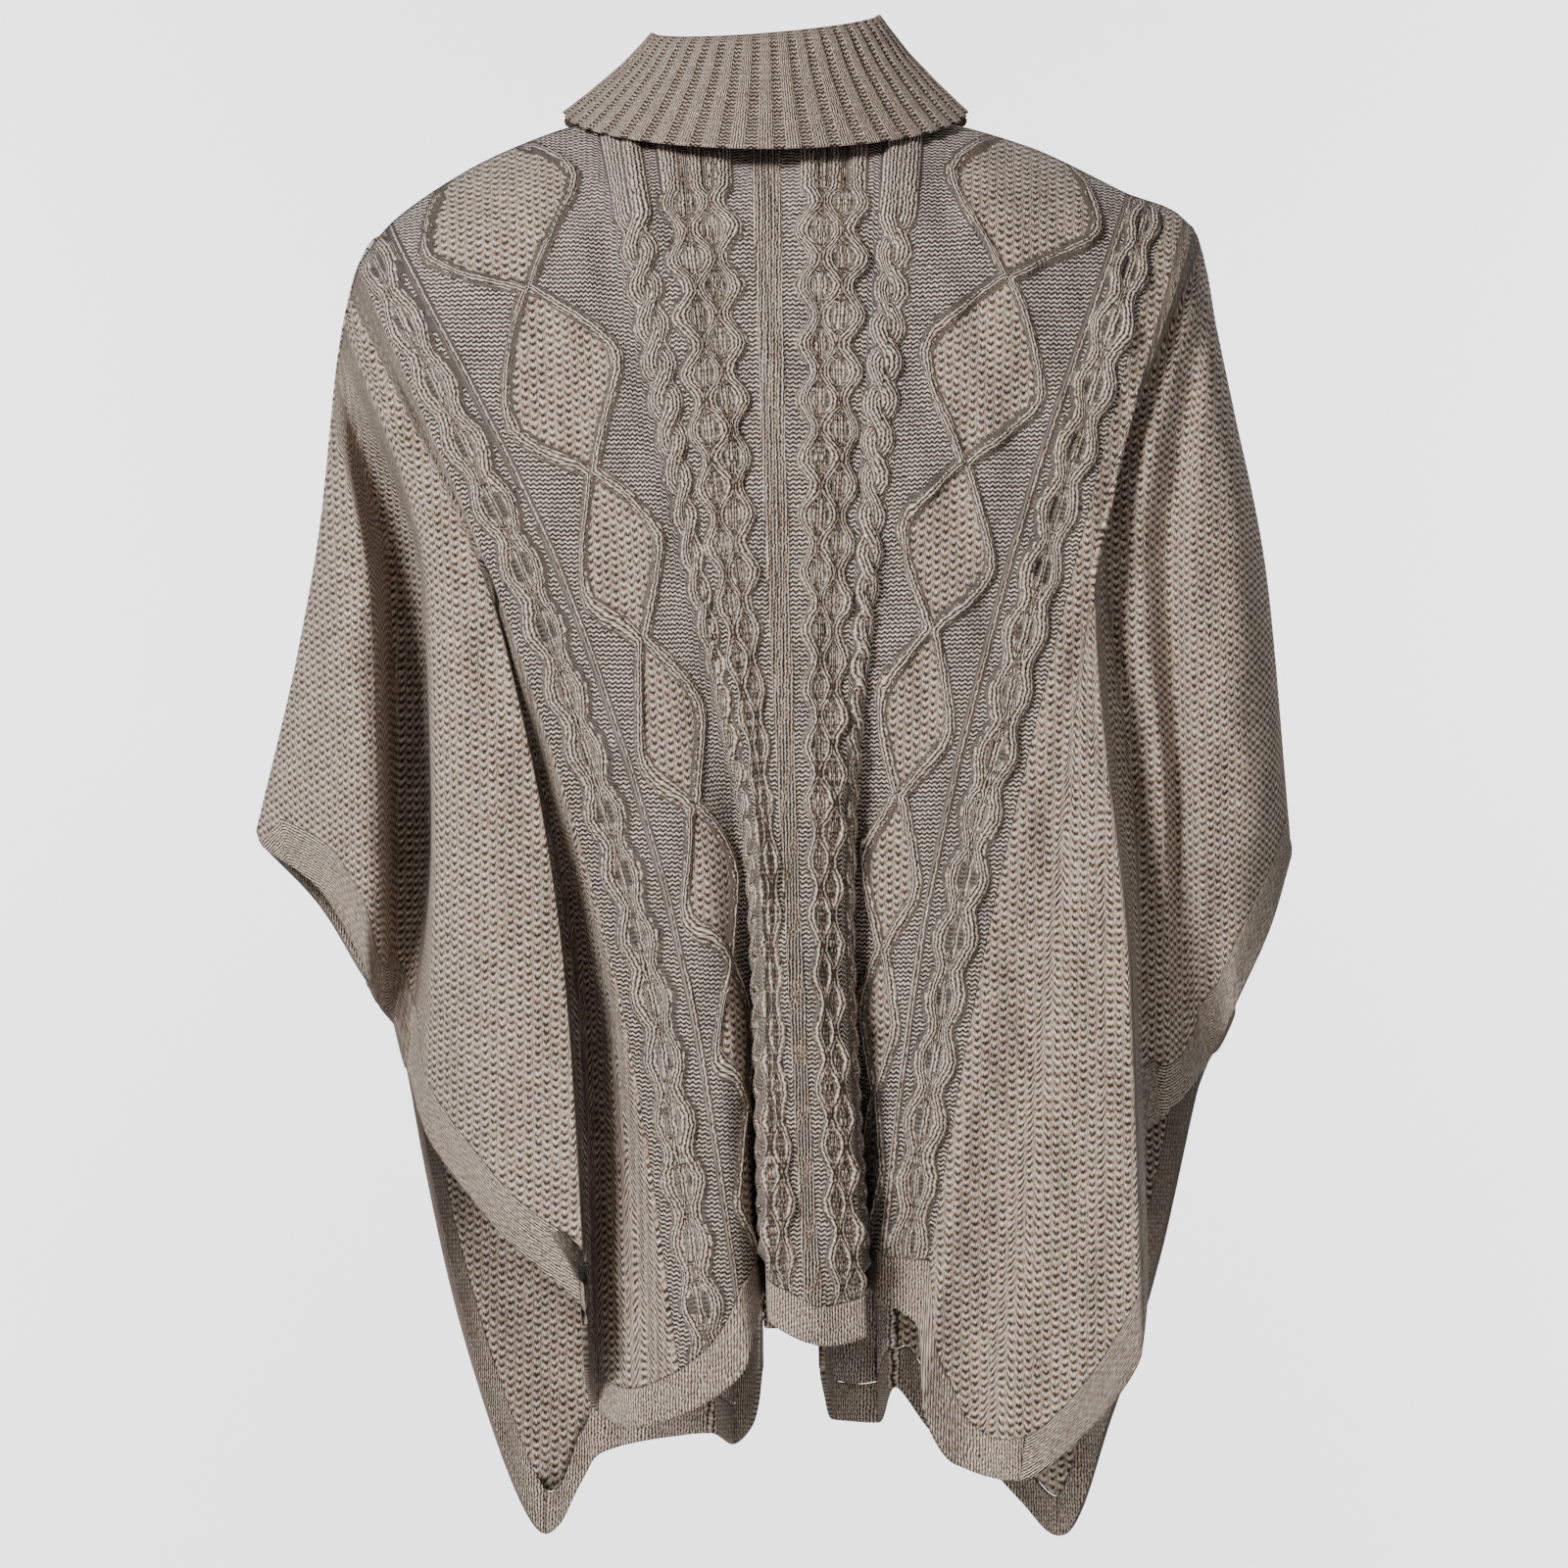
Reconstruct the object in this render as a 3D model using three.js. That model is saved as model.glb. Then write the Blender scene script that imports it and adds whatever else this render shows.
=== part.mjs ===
// A knitted poncho sweater, filled out and held up at its shoulders. Its cabled back faces -Y, Z is up, and
// the origin is at the middle of its neck. Lengths are in mm.
//
// The back and the front are two surfaces. Each is drawn through lines that run down its folds, and each
// piece of knitting is a wall laid on a part of one of them.
import * as THREE from "three";

const WALL = 3; // thickness of the knitting
const SEAM = 0.3; // gap that parts two sewn pieces
const BAND = 21; // width of the plain bands along the sides and the hem
const BAND_SHARE = 0.4; // the most of a short column that its band takes
const SHOULDER = 70; // drop over which the cloth turns over the shoulder
const BACK = -1;
const FRONT = 1;

// The neck opening is cut down into the back and the front from the shoulder's height at its sides. `wide`
// is half its width, and `depth` how far the cloth round it stands out where it has turned over the
// shoulder.
const NECK = { x: -10, wide: 78, depth: 90, sideZ: 20, backZ: 8, frontZ: -32 };

// Rows of points down a cabled piece, and the fewer rows of a plain one, closer together at the shoulder.
const CABLE_ROWS = 60;
const PLAIN_ROWS = 12;
const PLAIN_CROWDING = 1.45;

// Heights of the raised stitches.
const CABLE = 4.5;
const STRAND = 3.2;
const STRAND_HALF = 4; // half the width of a diamond's strand
const STRAND_SHARE = 0.08; // the most of its strip that such a half takes
const RIB = 1.8;
const CHAIN = 1.5; // the single raised column between two cables
const FADE = 0.03; // share of a piece's length over which its cables sink into its edges

// How often each cable crosses between the neck and the hem.
const HONEYCOMB_EYES = 20;
const ROPE_TURNS = 15.5;
const WISHBONE_EYES = 19;

// Where the two strands of the diamonds cross, as shares of the way down the back.
const DIAMOND_CROSSINGS = [-0.03, 0.12, 0.29, 0.44, 0.59, 0.73, 0.86, 1];
const DIAMOND_REACH = 0.44; // how far a strand's outer edge swings from the middle of its strip

const LINE_COLUMNS = "name topX topZ x1 x2 hemX hemZ depth0 depth1 depth2 depth3".split(" ");

// Lines down the back from cuff to cuff: x and z at the shoulder, x at one and two thirds of the way, x and
// z at the lower edge, and at these four heights how far the cloth stands out from the plane of the
// shoulders.
const BACK_LINES = table(LINE_COLUMNS, [
  ["cuff tip left", -287, -370, -286, -285, -283, -379, 6, 8, 9, 8],
  ["sleeve left", -265, -276, -261, -257, -252, -402, 22, 30, 34, 26],
  ["lobe left", -250, -191, -233, -228, -228, -443, 36, 56, 56, 34],
  ["valley 1 left", -245, -143, -224, -220, -218, -465, 38, 52, 50, 14],
  ["valley 1", -243, -119, -213, -210, -211, -474, 38, 12, 10, 3],
  ["valley 1 right", -241, -107, -197, -193, -205, -498, 44, 32, 28, 3],
  ["fold 1 left", -239, -96, -193, -189, -196, -530, 50, 84, 88, 30],
  ["fold 1", -237, -86, -172, -150, -154, -586, 54, 100, 114, 84],
  ["corner left", -235.5, -78, -152, -118, -106, -633, 56, 98, 112, 108],
  ["valley 2 left", -234.5, -73, -150, -117, -105, -662, 57, 92, 52, 70],
  ["valley 2", -233.5, -69, -149, -110, -100, -684, 58, 88, 34, 52],
  ["valley 2 right", -232.5, -66, -146.5, -95, -82, -692, 59, 92, 60, 80],
  ["wishbone left", -231.5, -63, -144, -85, -53, -684, 60, 96, 84, 92],
  ["chain left", -215, -41, -126, -67, -20, -658, 70, 101, 97, 96],
  ["diamond left", -159, -4, -95, -38, -13, -626, 84, 107, 98, 68],
  ["rope left", -107, 15, -62, -20, -10, -621, 88, 109, 92, 54],
  ["honeycomb left", -74, 20, -45, -11, -9, -632, 90, 109, 104, 116],
  ["rib left", -18, 8, -10, 1, 12, -645, 90, 110, 110, 126],
  ["rib right", -2, 8, 3, 10, 22, -647, 90, 110, 110, 126],
  ["honeycomb right", 49, 20, 39, 31, 45, -641, 90, 109, 104, 116],
  ["rope right", 82, 16, 56, 37, 43, -622, 88, 108, 90, 64],
  ["diamond right", 133, 2, 91, 57, 46, -617, 84, 105, 88, 58],
  ["chain right", 188, -24, 133, 87, 50, -622, 70, 99, 94, 78],
  ["wishbone right", 208, -31, 155, 108, 72, -638, 66, 95, 96, 84],
  ["fold 2 left", 212, -33, 158, 112, 75, -678, 64, 94, 98, 104],
  ["trough", 216, -36, 161, 127, 94, -712, 63, 92, 92, 92],
  ["corner right", 219, -39, 164, 155, 127, -720, 62, 93, 100, 104],
  ["fold 2", 223, -43, 168, 186, 193, -651, 60, 92, 102, 106],
  ["valley 3 left", 224, -47, 171, 189, 197, -604, 58, 70, 62, 66],
  ["valley 3", 226, -51, 175, 192, 195, -538, 56, 56, 48, 44],
  ["fold 3", 228, -57, 192, 205, 208, -522, 52, 66, 56, 36],
  ["valley 4", 231, -74, 209, 214, 218, -513, 46, 48, 38, 20],
  ["lobe right inner", 235, -95, 221, 226, 231, -495, 42, 60, 60, 3],
  ["lobe right", 245, -143, 242, 246, 245, -464, 34, 56, 56, 32],
  ["sleeve right", 262, -228, 263, 266, 265, -420, 20, 30, 32, 22],
  ["cuff tip right", 275, -370, 275, 276, 276, -383, 6, 8, 9, 8],
]);

// The same down the front, which hangs lower and ends in two corners.
const FRONT_LINES = table(LINE_COLUMNS, [
  ["cuff tip left", -287, -370, -286, -285, -283, -379, 6, 8, 9, 8],
  ["sleeve left", -265, -276, -262, -258, -253, -411, 18, 28, 30, 24],
  ["lobe left", -252, -201, -240, -232, -229, -450, 28, 46, 48, 28],
  ["underarm left", -244, -122, -225, -214, -211, -474, 36, 64, 58, 3],
  ["side seam left", -240, -95, -215, -205, -205, -501, 42, 72, 62, 3],
  ["side edge left", -233, -66, -206, -194, -195, -558, 50, 84, 78, 30],
  ["side fold left", -229, -57, -191, -175, -175, -647, 56, 92, 92, 60],
  ["corner left", -227, -53, -156, -134, -131, -755, 60, 94, 98, 86],
  ["flute 1", -223, -48, -143, -110, -100, -711, 64, 98, 106, 96],
  ["flute 2", -218, -45, -131, -82, -68, -703, 68, 104, 110, 98],
  ["chain left", -213, -41, -121, -58, -41, -700, 70, 106, 104, 94],
  ["tube 1", -159, -4, -84, -40, -28, -707, 72, 110, 114, 118],
  ["rope left", -107, 15, -47, -24, -16, -694, 72, 112, 112, 112],
  ["neck left", -88, 20, -38, -20, -13, -680, 84, 113, 108, 104],
  ["neck turn left", -72, 20, -32, -18, -12, -670, 88, 114, 106, 96],
  ["band left", -23, 8, -17, -13, -11, -664, 90, 114, 104, 92],
  ["centre front", -11, 8, -5, -2, -1, -664, 90, 115, 110, 100],
  ["band right", 3, 8, 7, 13, 19, -664, 90, 114, 106, 94],
  ["neck turn right", 52, 20, 20, 16, 20, -670, 88, 114, 106, 96],
  ["neck right", 68, 20, 26, 18, 22, -680, 84, 113, 108, 104],
  ["rope right", 84, 16, 33, 22, 26, -693, 72, 112, 112, 112],
  ["tube 2", 135, 1, 69, 46, 52, -695, 72, 110, 114, 118],
  ["chain right", 188, -24, 109, 66, 61, -675, 70, 106, 104, 92],
  ["flute 3", 197, -27, 121, 86, 83, -702, 66, 102, 108, 98],
  ["flute 4", 206, -30, 134, 110, 112, -719, 62, 98, 104, 104],
  ["corner right", 213, -34, 154, 144, 152, -756, 60, 94, 98, 90],
  ["side fold right", 218, -38, 172, 172, 180, -689, 58, 90, 90, 70],
  ["side edge right", 224, -45, 193, 196, 205, -604, 54, 84, 80, 40],
  ["side seam right", 230, -66, 215, 216, 226, -508, 46, 72, 62, 3],
  ["underarm right", 235, -95, 224, 228, 232, -493, 40, 62, 54, 3],
  ["lobe right", 248, -159, 245, 249, 248, -456, 30, 48, 46, 26],
  ["sleeve right", 263, -238, 264, 267, 266, -417, 18, 28, 28, 20],
  ["cuff tip right", 275, -370, 275, 276, 276, -383, 6, 8, 9, 8],
]);

// The strips of cable across the back: each runs from one line to the next named one. A mirrored strip is
// read from its right, and `edge` is how far the stitch on its first line is raised.
const CABLE_STRIPS = table(["line", "stitch", "mirrored", "edge"], [
  ["wishbone left", wishbone, false, 0],
  ["chain left", diamonds, false, CHAIN],
  ["rope left", rope, false, 0],
  ["honeycomb left", honeycomb, false, 0],
  ["rib left", fineRib, false, 0],
  ["rib right", honeycomb, true, 0],
  ["honeycomb right", rope, true, 0],
  ["rope right", diamonds, true, 0],
  ["chain right", wishbone, true, CHAIN],
  ["wishbone right", null, false, 0],
]);

// The collar's section, from its free edge over the fold to the neck and back under: half width, depth
// behind and before the neck's middle, height at its sides, back and front, and how far the ribs are raised
// there. The two rows without depths stand on the neck's edge.
const COLLAR_RIBS = 44;
const COLLAR_RIB = 2.2;
const COLLAR_TILT = 0.1; // rise of the right side, and fall of the left, for each mm above the neck
const COLLAR_OPENING = 0.03; // half the angle, in radians, between the collar's ends at the front
const COLLAR_SECTION = table(["wide", "back", "front", "sideZ", "backZ", "frontZ", "ribbed"], [
  [108, 96, 108, 21, -2, -24, 1],
  [92, 84, 94, 35, 17, 0, 1],
  [76, 70, 77, 50, 39, 24, 1],
  [65, 59, 64, 63, 58, 43, 0.7],
  [61, 55, 58, 69, 62, 47, 0.2],
  [57, 51, 53, 66, 59, 43, 0],
  [75, null, null, 20.6, 8.6, -31.4, 0],
  [78, null, null, 20.6, 8.6, -31.4, 0],
  [61, 56, 59, 57, 50, 36, 0],
  [104, 92, 104, 21, -2, -24, 0],
]);

const wool = new THREE.MeshStandardMaterial({ color: 0xb6a596, roughness: 0.95 });

function table(columns, rows) {
  return rows.map((row) => Object.fromEntries(columns.map((column, i) => [column, row[i]])));
}

function mix(a, b, share) {
  return a + (b - a) * share;
}

// A smooth curve through evenly spaced values, level at each crest and valley so that it never overshoots
// them.
function through(values, at) {
  const last = values.length - 1;
  const start = Math.min(Math.max(Math.floor(at), 0), last - 1);
  const share = at - start;
  const slopeAt = (k) => {
    if (k === 0) return values[1] - values[0];
    if (k === last) return values[last] - values[last - 1];
    const before = values[k] - values[k - 1];
    const after = values[k + 1] - values[k];
    return before * after <= 0 ? 0 : (2 * before * after) / (before + after);
  };
  const step = values[start + 1] - values[start];
  const slope0 = slopeAt(start);
  const slope1 = slopeAt(start + 1);
  const bend = slope0 + slope1 - 2 * step;
  return values[start] + share * (slope0 + share * (3 * step - 2 * slope0 - slope1 + share * bend));
}

// The share of its full depth that the cloth has after some share of its turn over the shoulder.
function roundOver(turned) {
  return Math.sqrt(1 - (1 - Math.min(Math.max(turned, 0), 1)) ** 2);
}

// How high a wall's top edge lies at x, and the shoulder above it: they differ where the neck is cut in.
function topEdge(x, shoulderZ, side) {
  const across = (x - NECK.x) / NECK.wide;
  if (Math.abs(across) >= 1) return { z: shoulderZ, shoulderZ };
  const lowZ = side === BACK ? NECK.backZ : NECK.frontZ;
  return { z: mix(NECK.sideZ, lowZ, Math.sqrt(1 - across ** 2)), shoulderZ: NECK.sideZ };
}

// A side of the garment: u counts its lines from the left, and v runs from the shoulder, 0, to the lower
// edge, 1.
function drape(lines, side) {
  const column = (name) => lines.map((line) => line[name]);
  const [topX, topZ, hemZ] = ["topX", "topZ", "hemZ"].map(column);
  const across = ["topX", "x1", "x2", "hemX"].map(column);
  const out = ["depth0", "depth1", "depth2", "depth3"].map(column);
  const downThe = (columns, u, v) => {
    const atU = columns.map((values) => through(values, u));
    return through(atU, v * (columns.length - 1));
  };
  return {
    side,
    last: lines.length - 1,
    lineAt: (name) => lines.findIndex((line) => line.name === name),
    point(u, v) {
      const top = topEdge(through(topX, u), through(topZ, u), side);
      const length = top.z - through(hemZ, u);
      const z = top.z - v * length;
      const depth = downThe(out, u, v) * roundOver((top.shoulderZ - z) / Math.min(SHOULDER, length / 3));
      return new THREE.Vector3(downThe(across, u, v), side * Math.max(depth, SEAM / 2), z);
    },
  };
}

// The change of a drape's point for a small step of u and of v.
function slopes(sheet, u, v) {
  const step = 1e-3;
  const [u0, u1] = [Math.max(u - step, 0), Math.min(u + step, sheet.last)];
  const [v0, v1] = [Math.max(v - step, 0), Math.min(v + step, 1)];
  const along = sheet.point(u1, v).sub(sheet.point(u0, v)).divideScalar(u1 - u0);
  const down = sheet.point(u, v1).sub(sheet.point(u, v0)).divideScalar(v1 - v0);
  return { along, down };
}

// A point moved out from the cloth by some height, or in by a negative one, on its own side of the shoulder
// plane.
function raised(sheet, u, v, height) {
  const { along, down } = slopes(sheet, u, v);
  const out = along.cross(down).multiplyScalar(sheet.side).normalize();
  const point = sheet.point(u, v).addScaledVector(out, height);
  point.y = sheet.side * Math.max(point.y * sheet.side, SEAM / 2);
  return point;
}

// The share of the way down at which a strip of some width along the lower edge starts. A steep edge needs
// a taller strip.
function bandTop(sheet, u, width) {
  const reach = 0.7; // lines on either side over which the edge's steepness is taken
  const along = sheet.point(Math.min(u + reach, sheet.last), 1).sub(sheet.point(Math.max(u - reach, 0), 1));
  const rise = along.z / Math.hypot(along.x, along.y);
  const length = sheet.point(u, 0).z - sheet.point(u, 1).z;
  return 1 - (Math.min((BAND * Math.hypot(1, rise)) / length, BAND_SHARE) * width) / BAND;
}

// One closed body from an outer and an inner grid of points, which have the same columns. Each says at
// which row counts its rows lie, and the rim between them is sewn by these counts, so that neighbours' rims
// match.
function closedWall(name, outer, inner) {
  const ids = [];
  const positions = [];
  const numbered = ({ points }) =>
    points.map((row) => row.map((point) => positions.push(...point.toArray()) / 3 - 1));
  const face = (turn, a, b, c) => ids.push(...(turn ? [a, c, b] : [a, b, c]));
  const faces = (grid, turn) => {
    for (let i = 0; i + 1 < grid.length; i++) {
      for (let j = 0; j + 1 < grid[i].length; j++) {
        const [a, b, c, d] = [grid[i][j], grid[i][j + 1], grid[i + 1][j + 1], grid[i + 1][j]];
        face(turn, a, b, c);
        face(turn, a, c, d);
      }
    }
  };
  const strip = (turn, a, b, rowsA, rowsB) => {
    let [i, j] = [0, 0];
    while (i < a.length - 1 || j < b.length - 1) {
      if (j === b.length - 1 || (i < a.length - 1 && rowsA[i + 1] <= rowsB[j + 1])) {
        face(turn, a[i + 1], a[i], b[j]);
        i++;
      } else {
        face(turn, a[i], b[j], b[j + 1]);
        j++;
      }
    }
  };
  const [outside, inside] = [numbered(outer), numbered(inner)];
  faces(outside, false);
  faces(inside, true);
  const columns = outside[0].map((_, j) => j);
  strip(false, outside[0], inside[0], columns, columns);
  strip(true, outside[outside.length - 1], inside[inside.length - 1], columns, columns);
  const side = (grid, j) => grid.map((row) => row[j]);
  strip(true, side(outside, 0), side(inside, 0), outer.rows, inner.rows);
  const last = columns.length - 1;
  strip(false, side(outside, last), side(inside, last), outer.rows, inner.rows);
  return solid(name, positions, ids);
}

// A named mesh, turned so that its faces look outwards.
function solid(name, positions, ids) {
  const corner = (k) => new THREE.Vector3().fromArray(positions, ids[k] * 3);
  let volume = 0;
  for (let k = 0; k < ids.length; k += 3) volume += corner(k).dot(corner(k + 1).cross(corner(k + 2)));
  const facing = volume > 0 ? ids : ids.slice().reverse();
  const geometry = new THREE.BufferGeometry();
  geometry.setAttribute("position", new THREE.Float32BufferAttribute(positions, 3));
  geometry.setIndex(facing);
  geometry.computeVertexNormals();
  const mesh = new THREE.Mesh(geometry, wool);
  mesh.name = name;
  return mesh;
}

// Rows of a plain grid, as counts of the cabled rows that they share, so that neighbours meet point to
// point.
function plainRows() {
  const rows = [];
  for (let i = 0; i <= PLAIN_ROWS; i++) {
    rows.push(Math.round(CABLE_ROWS * (i / PLAIN_ROWS) ** PLAIN_CROWDING));
  }
  return rows;
}

// Evenly spaced places from one line to another.
function evenly(from, to, perLine) {
  const count = Math.round((to - from) * perLine);
  return Array.from({ length: count + 1 }, (_, i) => mix(from, to, i / count));
}

// The place of a row's point j, drawn in by half a seam at the row's ends, square to the seam.
function seamedU(sheet, us, j, v) {
  const end = j === 0 ? 1 : j === us.length - 1 ? -1 : 0;
  const { along, down } = slopes(sheet, us[j], v);
  return us[j] + (end * (SEAM / 2) * down.length()) / along.cross(down).length();
}

// A panel from the shoulder to the band. `ridges` gives the places and heights of the points in a row.
function panel(name, sheet, ridges, rows = plainRows()) {
  const rowAt = (row, inner) => {
    const share = row / CABLE_ROWS;
    const columns = ridges(share);
    const us = columns.map((column) => column.u);
    return columns.map((column, j) => {
      const v = share * bandTop(sheet, column.u, BAND + SEAM / 2);
      return raised(sheet, seamedU(sheet, us, j, v), v, inner ? -WALL : column.height);
    });
  };
  const plain = plainRows();
  const outer = rows.map((row) => rowAt(row, false));
  levelEnds(outer, rows, plain);
  const inner = plain.map((row) => rowAt(row, true));
  return closedWall(name, { points: outer, rows }, { points: inner, rows: plain });
}

// Sets the end points of the rows between two plain ones on the straight line between them, as on the
// neighbour.
function levelEnds(grid, rows, plain) {
  const last = grid[0].length - 1;
  rows.forEach((row, i) => {
    const above = plain.findLast((count) => count <= row);
    if (above === row) return;
    const below = plain.find((count) => count > row);
    const [upper, lower] = [grid[rows.indexOf(above)], grid[rows.indexOf(below)]];
    for (const j of [0, last]) grid[i][j].lerpVectors(upper[j], lower[j], (row - above) / (below - above));
  });
}

// A band along the lower edge, under the places `us` of the panel above it.
function band(name, sheet, us) {
  const rowAt = (share, inner) =>
    us.map((place, j) => {
      const v = mix(bandTop(sheet, place, BAND - SEAM / 2), 1, share);
      return raised(sheet, seamedU(sheet, us, j, v), v, inner ? -WALL : 0);
    });
  const rows = [0, 1];
  const grid = (inner) => ({ points: rows.map((share) => rowAt(share, inner)), rows });
  return closedWall(name, grid(false), grid(true));
}

// Swings from 0, where a cable's strands touch, to 1, where its eye is widest.
function swing(turns) {
  return 0.5 - 0.5 * Math.cos(2 * Math.PI * turns);
}

// The stitches below give the raised points inside their strip, as places from 0 to 1 across it and
// heights.

// Two strands that part and meet, with an eye between them.
function wishbone(share) {
  const open = swing(share * WISHBONE_EYES);
  const part = 0.14 + 0.18 * open;
  return [[0.5 - part, CABLE], [0.5, CABLE * (1 - 0.8 * open)], [0.5 + part, CABLE]];
}

// Two columns of eyes that take turns.
function honeycomb(share) {
  const first = swing(share * HONEYCOMB_EYES);
  const second = 1 - first;
  return [
    [0.22 - 0.14 * first, CABLE],
    [0.27, CABLE * (1 - 0.8 * first)],
    [0.5 + 0.08 * (first - second), CABLE],
    [0.73, CABLE * (1 - 0.8 * second)],
    [0.78 + 0.14 * second, CABLE],
  ];
}

// Two strands twisted round each other, one in front and then the other.
function rope(share) {
  const turn = Math.sin(2 * Math.PI * share * ROPE_TURNS);
  return [
    [0.3 - 0.08 * turn, CABLE * (0.75 + 0.25 * turn)],
    [0.7 - 0.08 * turn, CABLE * (0.75 - 0.25 * turn)],
  ];
}

// Four fine ribs, drawn as two.
function fineRib() {
  return [[0.25, RIB], [0.5, 0], [0.75, RIB]];
}

// A lattice of two strands that cross and part into diamonds. `width` is the strip's own width.
function diamonds(share, width) {
  const below = DIAMOND_CROSSINGS.findIndex((crossing) => crossing > share);
  const next = below < 0 ? DIAMOND_CROSSINGS.length - 1 : below;
  const [from, to] = [DIAMOND_CROSSINGS[next - 1], DIAMOND_CROSSINGS[next]];
  const parted = 1 - Math.abs((2 * (share - from)) / (to - from) - 1);
  const half = Math.min(STRAND_HALF / width, STRAND_SHARE);
  const part = mix(1.3 * half, DIAMOND_REACH - half, parted); // the strands' feet never touch
  const strand = (middle) => [[middle - half, 0], [middle, STRAND], [middle + half, 0]];
  return [...strand(0.5 - part), [0.5, 0], ...strand(0.5 + part)];
}

// All raised points across the cabled back at one share of the way down.
function backRidges(sheet) {
  return (share) => {
    const fade = Math.min(share / FADE, (1 - share) / FADE, 1);
    const columns = [];
    for (let k = 0; k + 1 < CABLE_STRIPS.length; k++) {
      const strip = CABLE_STRIPS[k];
      const [left, right] = [sheet.lineAt(strip.line), sheet.lineAt(CABLE_STRIPS[k + 1].line)];
      const width = sheet.point(left, share).distanceTo(sheet.point(right, share));
      const inside = strip.stitch(share, width);
      const points = strip.mirrored ? inside.map(([at, height]) => [1 - at, height]).reverse() : inside;
      for (const [at, height] of [[0, strip.edge], ...points]) {
        columns.push({ u: mix(left, right, at), height: height * fade });
      }
    }
    columns.push({ u: sheet.lineAt(CABLE_STRIPS[CABLE_STRIPS.length - 1].line), height: 0 });
    return columns;
  };
}

// Evenly spaced points from one line to another, whose heights follow a repeated pattern.
function evenRidges(sheet, from, to, perLine, heights = [0]) {
  const us = evenly(sheet.lineAt(from), sheet.lineAt(to), perLine);
  return (share) => {
    const fade = Math.min(share / FADE, (1 - share) / FADE, 1);
    return us.map((u, j) => ({ u, height: j < us.length - 1 ? heights[j % heights.length] * fade : 0 }));
  };
}

// One point of the collar's section, in the direction x, y from the middle of the neck.
function collarPoint(row, x, y, out) {
  const [deep, lowZ] = y < 0 ? [row.back, row.backZ] : [row.front, row.frontZ];
  const flatZ = mix(row.sideZ, lowZ, Math.abs(y));
  const shoulder = NECK.depth * roundOver((NECK.sideZ - flatZ) / SHOULDER);
  const onNeck = shoulder - (NECK.wide - row.wide) * Math.abs(y);
  const place = deep ? (deep + out) * y : onNeck * Math.sign(y);
  return new THREE.Vector3(
    NECK.x + (row.wide + out) * x,
    place,
    flatZ + COLLAR_TILT * x * (row.sideZ - NECK.sideZ),
  );
}

// The ribbed collar: its section turned round the neck from one end at the front to the other.
function collar() {
  const steps = COLLAR_RIBS * 2;
  const rings = [];
  for (let i = 0; i <= steps; i++) {
    const angle = mix(COLLAR_OPENING, 2 * Math.PI - COLLAR_OPENING, i / steps) + Math.PI / 2;
    const [x, y] = [Math.cos(angle), Math.sin(angle)];
    const rib = i % 2 ? COLLAR_RIB : 0;
    rings.push(COLLAR_SECTION.map((row) => collarPoint(row, x, y, row.ribbed * rib)));
  }
  const count = COLLAR_SECTION.length;
  const positions = rings.flat().flatMap((point) => point.toArray());
  const ids = [];
  for (let i = 0; i < steps; i++) {
    for (let k = 0; k < count; k++) {
      const [a, b] = [i * count + k, i * count + ((k + 1) % count)];
      ids.push(a, b, b + count, a, b + count, a + count);
    }
  }
  const section = COLLAR_SECTION.map((row) => new THREE.Vector2(row.wide, row.sideZ));
  for (const [a, b, c] of THREE.ShapeUtils.triangulateShape(section, [])) {
    ids.push(b, a, c);
    ids.push(a + steps * count, b + steps * count, c + steps * count);
  }
  return solid("collar", positions, ids);
}

const back = drape(BACK_LINES, BACK);
const front = drape(FRONT_LINES, FRONT);
const cables = backRidges(back);
const places = (sheet, from, to) => evenly(sheet.lineAt(from), sheet.lineAt(to), 2);
const ribs = [0, RIB, RIB];
const welts = [0, 0, STRAND, 0, STRAND, 0];

const pieces = [
  panel("back_side_left", back, evenRidges(back, "cuff tip left", "wishbone left", 2)),
  panel("back_centre", back, cables, evenly(0, CABLE_ROWS, 1)),
  panel("back_side_right", back, evenRidges(back, "wishbone right", "cuff tip right", 2)),
  band("back_side_band_left", back, places(back, "cuff tip left", "corner left")),
  band("back_hem_band", back, [
    ...places(back, "corner left", "wishbone left").slice(0, -1),
    ...cables(1).map((column) => column.u),
    ...places(back, "wishbone right", "corner right").slice(1),
  ]),
  band("back_side_band_right", back, places(back, "corner right", "cuff tip right")),
  panel("front_side_left", front, evenRidges(front, "cuff tip left", "chain left", 2)),
  panel("front_centre_left", front, evenRidges(front, "chain left", "band left", 2, welts)),
  panel("front_rib_band_left", front, evenRidges(front, "band left", "centre front", 6, ribs)),
  panel("front_rib_band_right", front, evenRidges(front, "centre front", "band right", 6, ribs)),
  panel("front_centre_right", front, evenRidges(front, "band right", "chain right", 2, welts)),
  panel("front_side_right", front, evenRidges(front, "chain right", "cuff tip right", 2)),
  band("front_side_band_left", front, places(front, "cuff tip left", "corner left")),
  band("front_hem_band_left", front, places(front, "corner left", "band left")),
  band("front_hem_band_right", front, places(front, "band right", "corner right")),
  band("front_side_band_right", front, places(front, "corner right", "cuff tip right")),
  collar(),
];

const group = new THREE.Group();
group.add(...pieces);
export default group;
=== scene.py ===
# %% [markdown]
# # A knitted poncho sweater
# This lesson dresses a plain CAD model of a poncho sweater as real knitwear. The sweater is two big curved sides,
# a back and a front, sewn along the shoulders and finished with bands and a turned-down ribbed collar. Everything
# here is in metres in the end, but the tables are in millimetres, as a pattern cutter would write them.

# %% Load the plain model
import math
from collections import namedtuple

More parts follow.
